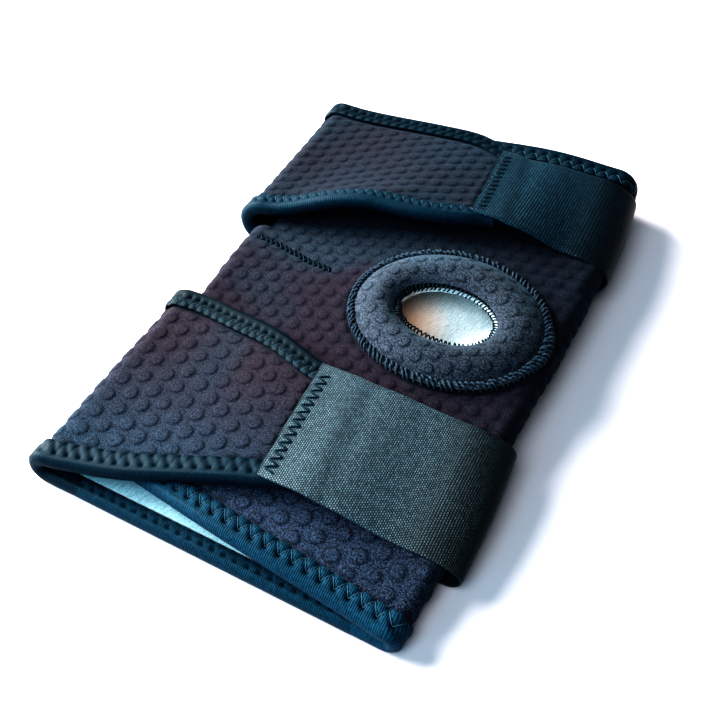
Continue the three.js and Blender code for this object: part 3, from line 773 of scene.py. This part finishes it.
# Woven elastic: ribs across the strap broken into short staggered floats of pale thread over dark rubber,
# with painted shade that darkens it before and into its fold, and a darker tone at its cut end
def woven_elastic(m, place, weave_size, gap_colour, float_colour):
    flat = add(m, "Attribute", {}, "Vector", attribute_name="flat")
    floats = {
        "Vector": flat,
        "Scale": 1.0,
        "Color1": (1, 1, 1, 1),
        "Color2": (0.5, 0.5, 0.5, 1),
        "Mortar": (0, 0, 0, 1),
        "Mortar Size": weave_size["gap"],
        "Mortar Smooth": 0.8,
        "Brick Width": weave_size["float"],
        "Row Height": weave_size["rib"],
    }
    weave = add(m, "TexBrick", floats, offset=0.5)
    blotch = add(m, "TexNoise", {"Vector": place, "Scale": per_metre(BLOTCH["elastic"]), "Detail": 3.0})
    worn = add(m, "MapRange", {"Value": blotch, "From Min": 0.25, "From Max": 0.75, "To Min": 0.7})
    # Painted shade: the strap darkens before and into its fold, and it is darker at its cut end
    bend = add(m, "Attribute", {}, "Fac", attribute_name="bend")
    fold_light = add(m, "MapRange", {"Value": bend, "To Min": 1.0, "To Max": 0.12})
    lit = add(m, "Math", {0: worn, 1: fold_light}, operation="MULTIPLY")
    tone = add(m, "Math", {0: weave, 1: lit}, operation="MULTIPLY")
    colour = add(
        m,
        "Mix",
        {"Factor": tone, "A": linear(gap_colour), "B": linear(float_colour)},
        data_type="RGBA",
    )
    bump = add(m, "Bump", {"Height": weave, "Strength": 0.6, "Distance": 0.3 * MM})
    return {
        "Base Color": colour,
        "Normal": bump,
        "Roughness": 0.5,
        "Specular IOR Level": 0.3,
        "Specular Tint": linear("#b9dbe6"),
    }


# Spun polyester sewing thread: dark, with a slight gloss and twist, and painted glints mixed in along it
def sewing_thread(m, place, shade, glint):
    twist_and_glint = add(m, "TexNoise", {"Vector": place, "Scale": per_metre(FUZZ), "Detail": 2.0})
    colour = add(m, "Mix", {"Factor": twist_and_glint, "A": linear(shade), "B": linear(glint)}, data_type="RGBA")
    bump = add(m, "Bump", {"Height": twist_and_glint, "Strength": 0.5, "Distance": 0.2 * MM})
    return {
        "Base Color": colour,
        "Normal": bump,
        "Roughness": 0.7,
        "Specular IOR Level": 0.15,
        "Specular Tint": linear("#7fb4cc"),
    }


# Moulded nylon hook tape: black and matt, with a speckle of hook tips
def moulded_hooks(m, place, base, tip):
    tips = add(m, "TexVoronoi", {"Vector": place, "Scale": per_metre(HOOK_PITCH)})
    colour = add(m, "Mix", {"Factor": tips, "A": linear(tip), "B": linear(base)}, data_type="RGBA")
    return {"Base Color": colour, "Roughness": 0.5, "IOR": 1.53}


# White laminate: an even satin white with hardly any cloud in it
def pale_surface(m, place, low, high):
    cloud = add(m, "TexNoise", {"Vector": place, "Scale": per_metre(BLOTCH["floor"])})
    colour = add(m, "Mix", {"Factor": cloud, "A": linear(low), "B": linear(high)}, data_type="RGBA")
    return {"Base Color": colour, "Roughness": 0.7}


# Knit colours: the crease colour of the fuzz's specks, which is also the painted shade at the dots' feet;
# the cool and warm tones of the drift; the near colour of the painted blue fill light; and the sheen's tint.
# The wings' knit takes a weaker painted fill
KNIT = new_material(
    "brushed_knit_on_neoprene", dotted_knit, "#020a14", "#26313c", "#2c212b", "#38475b", "#6f9cb8"
)
WING_KNIT = new_material(
    "brushed_knit_on_wings", dotted_knit, "#020a14", "#28333e", "#30272f", "#2a3c4c", "#6f9cb8"
)
RING_KNIT = new_material(
    "brushed_knit_on_padding", dotted_knit, "#060d14", "#40515f", "#3e4854", "#40515f", "#8fbcd4"
)
# Jersey colours: its dark and pale streaks, the painted warm light beside the opening, and the tint of the
# painted shade at the calf end
JERSEY = new_material("melange_jersey", melange_jersey, "#a2b2b6", "#e4ecee", "#f6bc92", "#90b0ba")
# Binding tape: the colour of its grooves, of its plain ribs, and the paler rib colour of its painted sheen
BINDING = new_material("ribbed_binding_tape", ribbed_tape, "#020a10", "#061219", "#1b485e")
ELASTIC_WEB = new_material("woven_elastic", woven_elastic, LOWER_WEAVE, "#000103", "#5a717c")
# Shaded copy of the woven elastic for the upper strap: its darker floats are painted shade, and its weave is
# coarser
SHADED_ELASTIC = new_material("woven_elastic_shaded", woven_elastic, UPPER_WEAVE, "#00040a", "#2a4f60")
THREAD = new_material("spun_polyester_thread", sewing_thread, "#03070b", "#1d323d")
EDGE_THREAD = new_material("spun_polyester_edge_thread", sewing_thread, "#101c24", "#3f5a68")
LOOSE_THREAD = new_material("overlock_thread", sewing_thread, "#0a1219", "#374652")
HOOKS = new_material("moulded_nylon_hooks", moulded_hooks, "#08080a", "#2a2a2e")


# Panels and linings
def steps(length, step):
    return int(math.ceil(length / step))


def spread(*spans):
    """Places along spans with these numbers of steps, as a span's number plus the share of it."""
    return np.concatenate([k + np.arange(count) / count for k, count in enumerate(spans)] + [[len(spans)]])


def broken(shares, ends):
    """Values at spread shares between the values at the ends of the spans."""
    k = np.clip(shares.astype(int), 0, len(ends) - 2)
    ends = np.broadcast_arrays(*ends)
    low = np.choose(k, [*ends[:-1]])
    high = np.choose(k, [*ends[1:]])
    return mix(low, high, shares - k)


def even_grid(columns, rows):
    """Shares from 0 to 1 of an even grid, across and along."""
    return np.meshgrid(np.linspace(0, 1, columns + 1), np.linspace(0, 1, rows + 1), indexing="ij")


def cut_round(across, y, oval):
    """Which cells of a grid lie outside an oval, and the grid with its points inside drawn to the edge."""
    out = outwards(across, y, oval)
    keep = (out[:-1, :-1] + out[1:, :-1] + out[:-1, 1:] + out[1:, 1:]) / 4 > 1
    near = np.clip(out, 0.05, 1)
    return keep, oval["x"] + (across - oval["x"]) / near, oval["y"] + (y - oval["y"]) / near


def dotted(points, normals, height, sunk):
    """Outer and inner faces of a neoprene wall whose outer face carries dots."""
    half = NEOPRENE / 2
    lift = DOT["height"] * (height - DOT_RISE) - sunk
    outer = points + normals * (half + np.minimum(lift, DOT["height"]))[..., None]
    return outer, points - normals * half


def front_panel():
    stops = [CALF_END, *LOWER_HIDES, TAB_LOW, TAB_HIGH, UPPER_HIDES, THIGH_END]
    pitches = [FRONT_STEP, HIDDEN_STEP, FRONT_STEP, FRONT_STEP, FRONT_STEP, HIDDEN_STEP]
    rows = spread(*[steps(b - a, pitch) for a, b, pitch in zip(stops, stops[1:], pitches)])
    widths = zip(FRONT_WIDTH.values(), (FRONT_STEP, FRONT_STEP, HIDDEN_STEP))
    columns = spread(*[steps(width, step) for width, step in widths])
    s, t = np.meshgrid(columns, rows, indexing="ij")
    y = broken(t, stops)
    for _ in range(4):
        left, right = front_seams(y)
        across = broken(s, [left, np.full_like(y, FREE_END), right - FRONT_WIDTH["under"], right])
        inner = [np.full_like(y, stop) for stop in stops[1:-1]]
        y = broken(t, [front_calf(across), *inner, front_thigh(across)])
    keep, across, y = cut_round(across, y, KNEECAP)
    past_tab, row = s[:-1, :-1] >= 1, t[:-1, :-1].astype(int)
    keep = keep & (past_tab | (row == stops.index(TAB_LOW)))
    points, normals = sample(front_at, across, y)
    edge = np.minimum(y - front_calf(across), front_thigh(across) - y)
    ring = outwards(across, y, RING)
    clear = smooth(edge, TAPE["leg"] + 0.5, TAPE["leg"] + TAPE_CLEAR) * smooth(ring, 1.0, 1.06)
    from_dart = (y - read(DART, "across", across, "y")) / DART_SEAM["width"]
    on_dart = within(across, DART_SEAM["start"], DART_SEAM["stop"], 2)
    seam = DART_SEAM["depth"] * np.exp(-(from_dart**2)) * on_dart
    height = dots(*stretched(across, y)) * clear * (1 - seam) + 0.4 * seam
    outer, inner = dotted(points, normals, height, sunk=PRESSED * (1 - clear) + seam)
    return wall("front_panel_knit", outer, inner, KNIT, keep, dot=height)


def wing_grid(strap, step):
    s, t = even_grid(*[steps(length, step) for length in WING_SIZE])
    y = mix(strap["edges"]["low"][0], strap["edges"]["high"][0], t)
    for _ in range(4):
        across = mix(*wing_ends(strap, y), s)
        low, high = (read(strap["edges"], "across", across, name) for name in ("low", "high"))
        y = mix(low, high, t)
    return across, y, np.minimum(y - low, high - y)


def wing(name, strap, pitch):
    across, y, edge = wing_grid(strap, WING_STEP)
    points, normals = sample(wing_at, across, y)
    clear = smooth(edge, TAPE["leg"] - 0.5, TAPE["leg"] + TAPE_CLEAR)
    strap_edge = wing_ends(strap, y)[1] - LAP
    clear = clear * (1 - smooth(across, strap_edge - TAPE_CLEAR, strap_edge))
    height = dots(across + WING_SHIFT[0], y + WING_SHIFT[1], pitch) * clear
    flat_under = smooth(normals[..., 2], -1, -0.6)
    lift = height * flat_under + DOT_RISE * (1 - flat_under)
    outer, inner = dotted(points, normals, lift, sunk=PRESSED * (1 - clear) * flat_under)
    return wall(name, outer, inner, WING_KNIT, dot=height)


def back_panel():
    """Back, whose dots on the surface that it lies on are pressed flat."""
    s, t = even_grid(steps(SEAM_RIGHT - SEAM_LEFT, BACK_STEP), steps(THIGH_END - CALF_END, BACK_STEP))
    x = mix(SEAM_RIGHT - GAP / 2, SEAM_LEFT + GAP / 2, s)
    y = mix(back_calf(x), back_thigh(x), t)
    points, normals = sample(back_at, x, y)
    edge = np.minimum(y - back_calf(x), back_thigh(x) - y)
    height = dots(x, y) * smooth(edge, TAPE["leg"], TAPE["leg"] + 4)
    pressed = DOT["height"] * (1 - np.minimum(height * 1.4, 1))
    outer = points - normals * (NEOPRENE / 2 - pressed)[..., None]
    inner = points + normals * NEOPRENE / 2
    return wall("back_panel_knit", outer, inner, KNIT, dot=height)


def lining_wall(name, points, normals, side, keep=None):
    near = NEOPRENE / 2 + 2 * GAP
    top, under = (points + side * normals * far for far in (near + LINING, near))
    return wall(name, top, under, JERSEY, keep)


def back_lining():
    size = BACK_LINING
    s, t = even_grid(steps(size["width"], LINING_STEP), steps(size["length"], LINING_STEP))
    y_line = mix(CALF_END, THIGH_END, t)
    drawn_in = size["drawn"] * within(y_line, NOTCH["low"], NOTCH["high"], size["fade"])
    x = mix(right_fold(y_line)[2] - size["right"], SEAM_LEFT - size["left"] + drawn_in, s)
    y = mix(back_calf(x) + HEM, back_thigh(x) - HEM, t)
    points, normals = sample(back_at, x, y)
    return lining_wall("back_lining_jersey", points, normals, 1)


def front_lining():
    size = FRONT_LINING
    s, t = even_grid(steps(size["width"], LINING_STEP), steps(size["length"], LINING_STEP))
    across = mix(FREE_END + size["start"], size["stop"], s)
    y = mix(front_calf(across) + HEM, front_thigh(across) - HEM, t)
    keep, across, y = cut_round(across, y, KNEECAP)
    points, normals = sample(front_at, across, y)
    return lining_wall("front_lining_jersey", points, normals, -1, keep)


# Padded ring round the kneecap opening
def ring_place(turn, share, height):
    """Point over the front round the opening: share 0 is at its inner edge and 1 at its outer."""
    oval = {key: mix(RING_INSIDE[key], RING[key], share) for key in RING_INSIDE}
    x, y = oval["x"] + np.cos(turn) * oval["across"], oval["y"] + np.sin(turn) * oval["along"]
    return above(front_at, x, y, NEOPRENE / 2 + 3 * GAP + height), x, y


def ring_height(share):
    """Height of the padding from its rounded inner edge over the crown to the sewn flange."""
    way = np.clip((share + 0.02) / (PADDING["seam"] + 0.02), 0, 1)
    return mix(PADDING["flange"], PADDING["crown"], np.sin(math.pi * way**0.85) ** 0.75)


def patella_ring():
    turns, crown_steps, base_steps = 420, 46, 8
    turn = np.arange(turns) / turns * math.tau
    share = np.concatenate([np.linspace(0, 1, crown_steps + 1), np.linspace(1, 0, base_steps + 2)[1:-1]])
    on_top = np.arange(len(share)) <= crown_steps
    bulge = np.where(on_top, ring_height(share), 0)
    turn, share = np.meshgrid(turn, share, indexing="ij")
    bulge = np.broadcast_to(bulge, turn.shape)
    _, x, y = ring_place(turn, share, bulge)
    height = dots(x + RING_SHIFT[0], y + RING_SHIFT[1]) * on_top
    height = height * within(share, PADDING["first_dots"], PADDING["last_dots"], 0.08)
    points, _, _ = ring_place(turn, share, bulge + 0.8 * DOT["height"] * height)
    return loop("patella_ring_padding", points, RING_KNIT, dot=height)


def opening_rim():
    """Edge of the lining turned up round the opening's wall, under the rim stitches."""
    turns = 160
    turn = np.arange(turns) / turns * math.tau
    low, high = -NEOPRENE / 2 - RIM["low"], -RIM["high"]
    heights = np.array([low, high, high, low])
    insets = np.array([RIM["thick"], RIM["thick"], 0.0, 0.0]) + RIM["inset"]
    turn, height = np.meshgrid(turn, heights, indexing="ij")
    inset = np.broadcast_to(insets, turn.shape)
    x = KNEECAP["x"] + np.cos(turn) * (KNEECAP["across"] - inset)
    y = KNEECAP["y"] + np.sin(turn) * (KNEECAP["along"] - inset)
    return loop("opening_rim_jersey", above(front_at, x, y, height), JERSEY)


# Straps and hook tabs
def strap_grid(strap, step):
    rows = steps(strap["high"] - strap["low"], step)
    y_line = np.linspace(strap["low"], strap["high"], rows + 1)
    first, last = strap_start(strap, y_line), strap_length(strap, y_line)
    columns = steps((last - first).max(), step)
    s, y = np.meshgrid(np.linspace(0, 1, columns + 1), y_line, indexing="ij")
    return mix(first, last, s), y


def strap_piece(name, strap, material):
    across, y = strap_grid(strap, STRAP_STEP)
    points, normals = sample(strap_at(strap), across, y)
    edge = np.minimum(y - strap["low"], strap["high"] - y)
    half = ELASTIC / 2 * mix(STRAP_EDGE["thin"], 1, smooth(edge, 0, STRAP_EDGE["width"]))
    from_end = across - strap_start(strap, y)
    crease = np.exp(-(((from_end - CREASE["at"] - CREASE["slant"] * y) / CREASE["width"]) ** 2))
    ridge = np.exp(-(((from_end - CREASE["ridge"] - CREASE["slant"] * y) / CREASE["width"] / 1.5) ** 2))
    ripple = strap["crease"] * (0.5 * ridge - crease)
    outer = points + normals * (half + ripple)[..., None]
    inner = points - normals * (half - ripple)[..., None]
    flat = np.stack([y, across, np.zeros_like(y)], axis=-1)
    _, fold_start, over, _, _ = strap_fold(strap, y)
    # Painted shade before and into the strap's fold; its cut end is darker too
    bend = smooth(across, fold_start - FOLD_SHADE["before"], fold_start + FOLD_SHADE["into"] * over)
    bend[0] = FOLD_SHADE["end"]
    return wall(name, outer, inner, material, flat=flat, bend=bend)


def hook_tab(name, strap):
    low, high = strap["low"] + HOOK_TAB["inset"], strap["high"] - HOOK_TAB["inset"]
    s, t = even_grid(steps(HOOK_TAB["stop"] - HOOK_TAB["start"], HOOK_STEP), steps(high - low, HOOK_STEP))
    x, y = mix(HOOK_TAB["stop"], HOOK_TAB["start"], s), mix(low, high, t)
    points, normals = sample(strap_at(strap), strap_length(strap, y) + STRAP_END - x, y)
    near = ELASTIC / 2 + 1.5 * GAP
    tips = HOOK_TAB["tips"] * (np.cos(x * math.pi) * np.cos(y * math.pi) > 0)
    outer = points - normals * near
    inner = points - normals * (near + HOOK - HOOK_TAB["tips"] + tips)[..., None]
    return wall(name, outer, inner, HOOKS)


# Edge tapes: each follows a path of stretches along bound edges
def stretch(surface, first, last, edge, inward, stitch, worn, outer=1):
    """One stretch of a bound edge; its length is taken across, and outer is -1 on the back."""
    return dict(
        surface=surface,
        first=first,
        last=last,
        length=abs(last - first),
        edge=edge,
        inward=inward,
        stitch=stitch,
        worn=worn,
        outer=outer,
    )


def wing_edge(strap, name):
    return lambda across: read(strap["edges"], "across", across, name)


def wing_stretch(strap, name, inward, stitch, worn):
    y_seam = strap["edges"][name][0]
    y_end = strap[name]
    first, last = float(wing_ends(strap, y_seam)[0]), float(wing_ends(strap, y_end)[1]) - TAPE_SHORT
    return stretch(wing_at, first, last, wing_edge(strap, name), inward, stitch, worn)


def path_length(path):
    return sum(part["length"] for part in path)


def walk(path, arc, inset):
    """Points and outer normals of a bound edge, at distances along it and inwards from it."""
    arc, inset = np.broadcast_arrays(np.asarray(arc, float), np.asarray(inset, float))
    points, normals = np.zeros(arc.shape + (3,)), np.zeros(arc.shape + (3,))
    start = 0.0
    for k, part in enumerate(path):
        length = part["length"]
        here = arc >= start if k == len(path) - 1 else (arc >= start) & (arc < start + length)
        if k == 0:
            here = arc < start + length
        across = part["first"] + (arc[here] - start) * math.copysign(1, part["last"] - part["first"])
        y = part["edge"](across) + part["inward"] * inset[here]
        points[here], normals[here] = sample(part["surface"], across, y)
        normals[here] *= part["outer"]
        start += length
    return points, normals


# Zigzag seams: distances of the two rows of needle holes from the edge, where the thread turns in a pitch,
# how deep and wide the holes are pulled, and how far the thread lies above or below the tape
WIDE = dict(near=3.6, far=8.4, pitch=6.1, lean=0.5, depth=1.0, hole=1.0, lift=0.0)
ROPE = dict(near=3.0, far=8.4, pitch=5.2, lean=0.2, depth=0.9, hole=0.8, lift=-0.4)
NARROW = dict(near=3.4, far=8.6, pitch=4.4, lean=0.3, depth=0.8, hole=0.8, lift=0.0)

# The last number of each stretch is how much painted sheen pales its tape
CALF_PATH = [
    stretch(front_at, FREE_END, float(front_seams(CALF_END)[1]), front_calf, 1, WIDE, 1.0),
    stretch(back_at, SEAM_RIGHT, SEAM_LEFT, back_calf, 1, ROPE, 0.75, -1),
    wing_stretch(LOWER, "low", 1, ROPE, 0.28),
]
THIGH_PATH = [
    stretch(front_at, FREE_END, float(front_seams(THIGH_END)[1]), front_thigh, -1, WIDE, 0.2),
    stretch(back_at, SEAM_RIGHT, SEAM_LEFT, back_thigh, -1, ROPE, 0.2, -1),
    wing_stretch(UPPER, "high", -1, ROPE, 0.15),
]
LOWER_INNER_PATH = [wing_stretch(LOWER, "high", -1, NARROW, 0.0)]
UPPER_INNER_PATH = [wing_stretch(UPPER, "low", 1, NARROW, 0.5)]


def zig(arc, stitch):
    """Distance from the edge of a zigzag seam, between its two rows of needle holes."""
    phase = np.mod(arc / stitch["pitch"], 1)
    wave = np.where(phase < stitch["lean"], phase / stitch["lean"], (1 - phase) / (1 - stitch["lean"]))
    return mix(stitch["near"], stitch["far"], wave)


def pucker(arc, inset, stitch):
    """How deep a zigzag seam pulls its tape in: along the thread, and most at the needle holes."""
    slope = (stitch["far"] - stitch["near"]) / stitch["pitch"] / 0.5
    line = (inset - zig(arc, stitch)) / math.hypot(1, slope)
    phase = np.mod(arc / stitch["pitch"], 1)
    holes = 0.0
    for row, place, pull in ((stitch["near"], 0.0, 0.85), (stitch["far"], stitch["lean"], 0.45)):
        along = (np.mod(phase - place + 0.5, 1) - 0.5) * stitch["pitch"]
        holes = holes + pull * np.exp(-((along**2 + (inset - row) ** 2) / stitch["hole"] ** 2))
    return stitch["depth"] * np.clip(0.4 * np.exp(-((line / 0.6) ** 2)) + holes, 0, 1)


def stretch_number(path, arc):
    """Number of the stretch that each distance along a path falls on."""
    ends = np.cumsum([part["length"] for part in path])
    return np.clip(np.searchsorted(ends, arc), 0, len(path) - 1)


def edge_tape(name, path):
    length = path_length(path)
    arc = np.linspace(0.01, length - 0.01, steps(length, TAPE_STEP) + 1)
    leg_steps, nose_steps, short_steps = 11, 10, 6
    outside = NEOPRENE / 2 + TAPE_OUT
    turn = np.linspace(0, math.pi, nose_steps + 1)
    leg = np.linspace(TAPE["leg"], 0, leg_steps + 1)[:-1]
    short = np.linspace(0, INNER_LEG, short_steps + 1)[1:]
    inset = np.concatenate([leg, np.zeros(nose_steps + 1), short])
    level = np.concatenate([np.ones(leg_steps), np.cos(turn), -np.ones(short_steps)])
    beyond = np.concatenate([np.zeros(leg_steps), np.sin(turn), np.zeros(short_steps)])
    arc_grid, inset_grid = np.meshgrid(arc, inset, indexing="ij")
    points, normals = walk(path, arc_grid, inset_grid)
    edge, _ = walk(path, arc, 0.0)
    inner_edge, _ = walk(path, arc, 0.5)
    out = edge - inner_edge
    out = (out / np.linalg.norm(out, axis=-1, keepdims=True))[:, None, :]
    on_leg = np.abs(level) > 0.99
    number = stretch_number(path, arc_grid)
    pulled = np.select(
        [number == k for k in range(len(path))],
        [pucker(arc_grid, inset_grid * np.where(level < 0, 1.5, 1), part["stitch"]) for part in path],
    )
    worn = np.select([number == k for k in range(len(path))], [part["worn"] for part in path])
    from_cut = np.where(level > 0, TAPE["leg"], INNER_LEG) - inset_grid
    tuck = TUCK["depth"] * (1 - smooth(from_cut, 0, TUCK["width"]))
    swell = SWELL * (1 - pulled)
    raised = np.where(normals[..., 2] * level < -0.9, 0.0, swell - pulled - tuck)
    rise = (outside + raised * on_leg) * level
    outer = points + normals * rise[..., None] + out * (TAPE["nose"] * beyond)[..., None]
    inside = (outside - TAPE["wall"]) * level
    inner = points + normals * inside[..., None] + out * ((TAPE["nose"] - TAPE["wall"]) * beyond)[..., None]
    run = np.cumsum(np.concatenate([[0], np.hypot(np.diff(inset), outside * np.diff(level))]))
    flat = np.stack([arc_grid, np.broadcast_to(run, arc_grid.shape), np.zeros_like(arc_grid)], axis=-1)
    return wall(name, outer, inner, BINDING, flat=flat, sunk=pulled * on_leg, worn=worn, crease=60)


def zigzag(path):
    """Threads of the zigzag over a tape, one run for each stretch: down at needle holes and up between."""
    runs = []
    start = 0.0
    for part in path:
        length, stitch = part["length"], part["stitch"]
        first = math.ceil(start / stitch["pitch"])
        last = math.floor((start + length) / stitch["pitch"])
        holes = np.add.outer(np.arange(first, last), (0, stitch["lean"])).ravel() * stitch["pitch"]
        shares, lifts = np.array([0.0, 0.2, 0.5, 0.8]), np.array([-0.9, -0.1, 0.15, -0.1])
        arc = mix(holes[:-1, None], holes[1:, None], shares).ravel()
        points, normals = walk(path, arc, zig(arc, stitch))
        lift = stitch["lift"] + np.tile(lifts, len(holes) - 1)
        runs.append(points + normals * (NEOPRENE / 2 + TAPE_OUT + lift)[:, None])
        start += length
    return runs


def ring_edge_runs():
    """Overlock round the ring's flange: two staggered rows of loops, the outer one down over the edge."""
    count = 104
    lean = math.tau / count
    rows = (
        (0.0, (0.855, 0.865, 0.9, 0.925, 0.93), (1.0, 2.4, 2.6, 2.3, 1.0)),
        (0.5, (0.915, 0.925, 0.965, 1.0, 1.005), (1.2, 2.3, 2.3, 1.3, -0.2)),
    )
    runs = []
    for shift, share, lift in rows:
        for k in range(count):
            turn = k + shift + 0.5 * hashed(k, shift) + np.array([0.0, 0.1, 0.35, 0.6, 0.7])
            high = np.array(lift) * (0.75 + 0.4 * hashed(k, 3 + shift))
            runs.append(ring_place(turn * lean, np.array(share), high)[0])
    return runs


def opening_rim_runs():
    """Overlock round the opening: loops that stand in from the padding and run down over the lining."""
    count, frayed_from, frayed_to = 66, 3.4, 4.9
    lean = math.tau / count
    inset = np.array([-2.0, 0.2, 1.9, 1.5, 0.9])
    level = np.array([4.4, 4.6, 3.6, 2.2, 1.2])
    runs = []
    for k in range(count):
        turn = (k + np.array([0.0, 0.1, 0.35, 0.6, 0.8]) + 0.3 * hashed(k, 2.0)) * lean
        frayed = within(np.mod(turn, math.tau), frayed_from, frayed_to, 0.4)
        deep = inset * (0.8 + 0.4 * hashed(k, 9.0) + 0.7 * frayed)
        x = RING_INSIDE["x"] + np.cos(turn) * (RING_INSIDE["across"] - deep)
        y = RING_INSIDE["y"] + np.sin(turn) * (RING_INSIDE["along"] - deep)
        runs.append(above(front_at, x, y, level))
    return runs


def strap_end_runs(strap):
    """Zigzag that sews a strap's end down, slanting stitches along its cut edge."""
    pitch, near, far, margin, lean = 4.0, 1.0, 6.6, 2.5, 0.35
    count = int((strap["high"] - strap["low"] - 2 * margin) / pitch)
    low = strap["low"] + margin + np.arange(count + 1) * pitch
    runs = []
    for y0, y1 in zip(low[:-1], low[1:]):
        shares = np.array([0.0, 0.2, 0.5, 0.8, 1.0])
        turn = y0 + lean * pitch
        for y_a, y_b, d_a, d_b in ((y0, turn, far, near), (turn, y1, near, far)):
            y = mix(y_a, y_b, shares)
            across = strap_start(strap, y) + mix(d_a, d_b, shares)
            lift = ELASTIC / 2 + np.array([-0.6, 0.2, 0.3, 0.2, -0.6])
            runs.append(above(strap_at(strap), across, y, lift))
    return runs


def dart_runs():
    """Thick crossed stitches that close a small dart in the front, from the left fold inwards."""
    count, half, slant = 30, 1.5, 0.9
    runs = []
    for k in range(count):
        middle = mix(DART["across"][0], DART["across"][-1], (k + 0.5) / count)
        turn = np.array([-1.0, -0.8, 0.0, 0.8, 1.0])
        y = read(DART, "across", middle, "y") + half * turn
        across = middle + slant * turn * (-1) ** k
        lift = NEOPRENE / 2 + np.array([-0.8, 0.1, -0.1, 0.1, -0.8])
        runs.append(above(front_at, across, y, lift))
    return runs


# Pieces of the brace
def place_piece(piece, slot, *nodes):
    """A piece on the one body, hiding the solids that it stands for; slot is not used."""
    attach(piece, "root")
    if nodes:
        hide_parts(*nodes)
    return piece


front = place_piece(front_panel(), "dotted_neoprene", "front_panel")
back = place_piece(back_panel(), "dotted_neoprene", "back_panel")
lower_wing = place_piece(wing("lower_wing_knit", LOWER, DOT["calf_pitch"]), "dotted_neoprene", "lower_wing")
upper_wing = place_piece(wing("upper_wing_knit", UPPER, DOT["pitch"]), "dotted_neoprene", "upper_wing")
inside_front = place_piece(front_lining(), "lining_jersey", "front_lining")
inside_back = place_piece(back_lining(), "lining_jersey", "back_lining")
place_piece(opening_rim(), "lining_jersey")
ring = place_piece(patella_ring(), "ring_padding", "patella_ring")
lower_strap = place_piece(
    strap_piece("lower_strap_elastic", LOWER, ELASTIC_WEB), "elastic_webbing", "lower_strap"
)
upper_strap = place_piece(
    strap_piece("upper_strap_elastic", UPPER, SHADED_ELASTIC), "elastic_webbing", "upper_strap"
)
lower_tab = place_piece(hook_tab("lower_hook_tab_hooks", LOWER), "hook_tape", "lower_hook_tab")
upper_tab = place_piece(hook_tab("upper_hook_tab_hooks", UPPER), "hook_tape", "upper_hook_tab")
bound_edges = (
    ("calf_edge", CALF_PATH, ["front_panel", "back_panel", "lower_wing"]),
    ("thigh_edge", THIGH_PATH, ["front_panel", "back_panel", "upper_wing"]),
    ("lower_wing", LOWER_INNER_PATH, ["lower_wing"]),
    ("upper_wing", UPPER_INNER_PATH, ["upper_wing"]),
)
for name, path, panels in bound_edges:
    tape = place_piece(edge_tape(name + "_tape_ribbed", path), "edge_tape", name + "_tape")
    place_piece(thread(name + "_stitches", zigzag(path), RADIUS["tape"], EDGE_THREAD), "edge_tape")
    path_length(path) * MM
    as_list(panels)
place_piece(thread("ring_edge_stitches", ring_edge_runs(), RADIUS["ring"], LOOSE_THREAD), "edge_tape")
place_piece(thread("opening_rim_stitches", opening_rim_runs(), RADIUS["rim"], THREAD), "edge_tape")
for name, strap in (("lower_strap", LOWER), ("upper_strap", UPPER)):
    place_piece(thread(name + "_stitches", strap_end_runs(strap), RADIUS[name], THREAD), "edge_tape")
place_piece(thread("dart_stitches", dart_runs(), RADIUS["dart"], THREAD), "edge_tape")

# Floor just under the brace and soft studio lights, in metres
FLOOR = dict(half=1.8, drop=0.4 * MM)
floor_mesh = bpy.data.meshes.new("floor")
bm = bmesh.new()
bmesh.ops.create_grid(bm, x_segments=1, y_segments=1, size=FLOOR["half"])
bmesh.ops.translate(bm, verts=bm.verts[:], vec=(0, 0, -FLOOR["drop"]))
bm.to_mesh(floor_mesh)
bm.free()
floor_mesh.materials.append(new_material("white_laminate", pale_surface, "#a9a8af", "#adacb2"))
floor = linked("floor", floor_mesh)


def area_light(name, place, target, size, power, colour):
    data = bpy.data.lights.new(name, "AREA")
    data.shape = "DISK"
    data.size = size
    data.energy = power
    data.color = linear(colour)[:3]
    lamp = linked(name, data)
    aim = (Vector(target) - Vector(place)).to_track_quat("-Z", "Y")
    lamp.matrix_world = Matrix.Translation(place) @ aim.to_matrix().to_4x4()


area_light("window_light", (-3.3, 0.1, 1.56), (0, 0, 0), 3.0, 930, "#fbf2ea")
area_light("ceiling_light", (-0.4, -2.5, 4.0), (0, 0, 0), 3.4, 185, "#f4fbff")
area_light("room_fill", (-1.5, -3.9, 1.8), (0, 0, 0), 2.7, 110, "#7cd4f4")

# Dim room light, seen as a pale backdrop
world = bpy.data.worlds.new("soft_room")
world.use_nodes = True
backdrop = world.node_tree.nodes["Background"]
seen = add(world, "LightPath", {}, "Is Camera Ray")
level = add(world, "MapRange", {"Value": seen, "To Min": 0.12, "To Max": 0.9})
backdrop.inputs["Color"].default_value = linear("#d0e4f4")
world.node_tree.links.new(level, backdrop.inputs["Strength"])
bpy.context.scene.world = world
bpy.context.scene.view_settings.view_transform = "Standard"
bpy.context.scene.view_settings.look = "Very High Contrast"

# Camera at the photo's angle: a 50 mm lens on a 36 mm wide frame
CAMERA_PLACE = Vector((134.4, -283.1, 339.7)) * MM
CAMERA_LOOK = Vector((-0.294, 0.594, -0.749))
camera_data = bpy.data.cameras.new("camera")
camera_data.lens = 50
camera_data.sensor_width = 36
camera_data.clip_start = 0.01
camera = linked("camera", camera_data)
aim = CAMERA_LOOK.to_track_quat("-Z", "Y").to_matrix().to_4x4()
camera.matrix_world = Matrix.Translation(CAMERA_PLACE) @ aim
bpy.context.scene.camera = camera
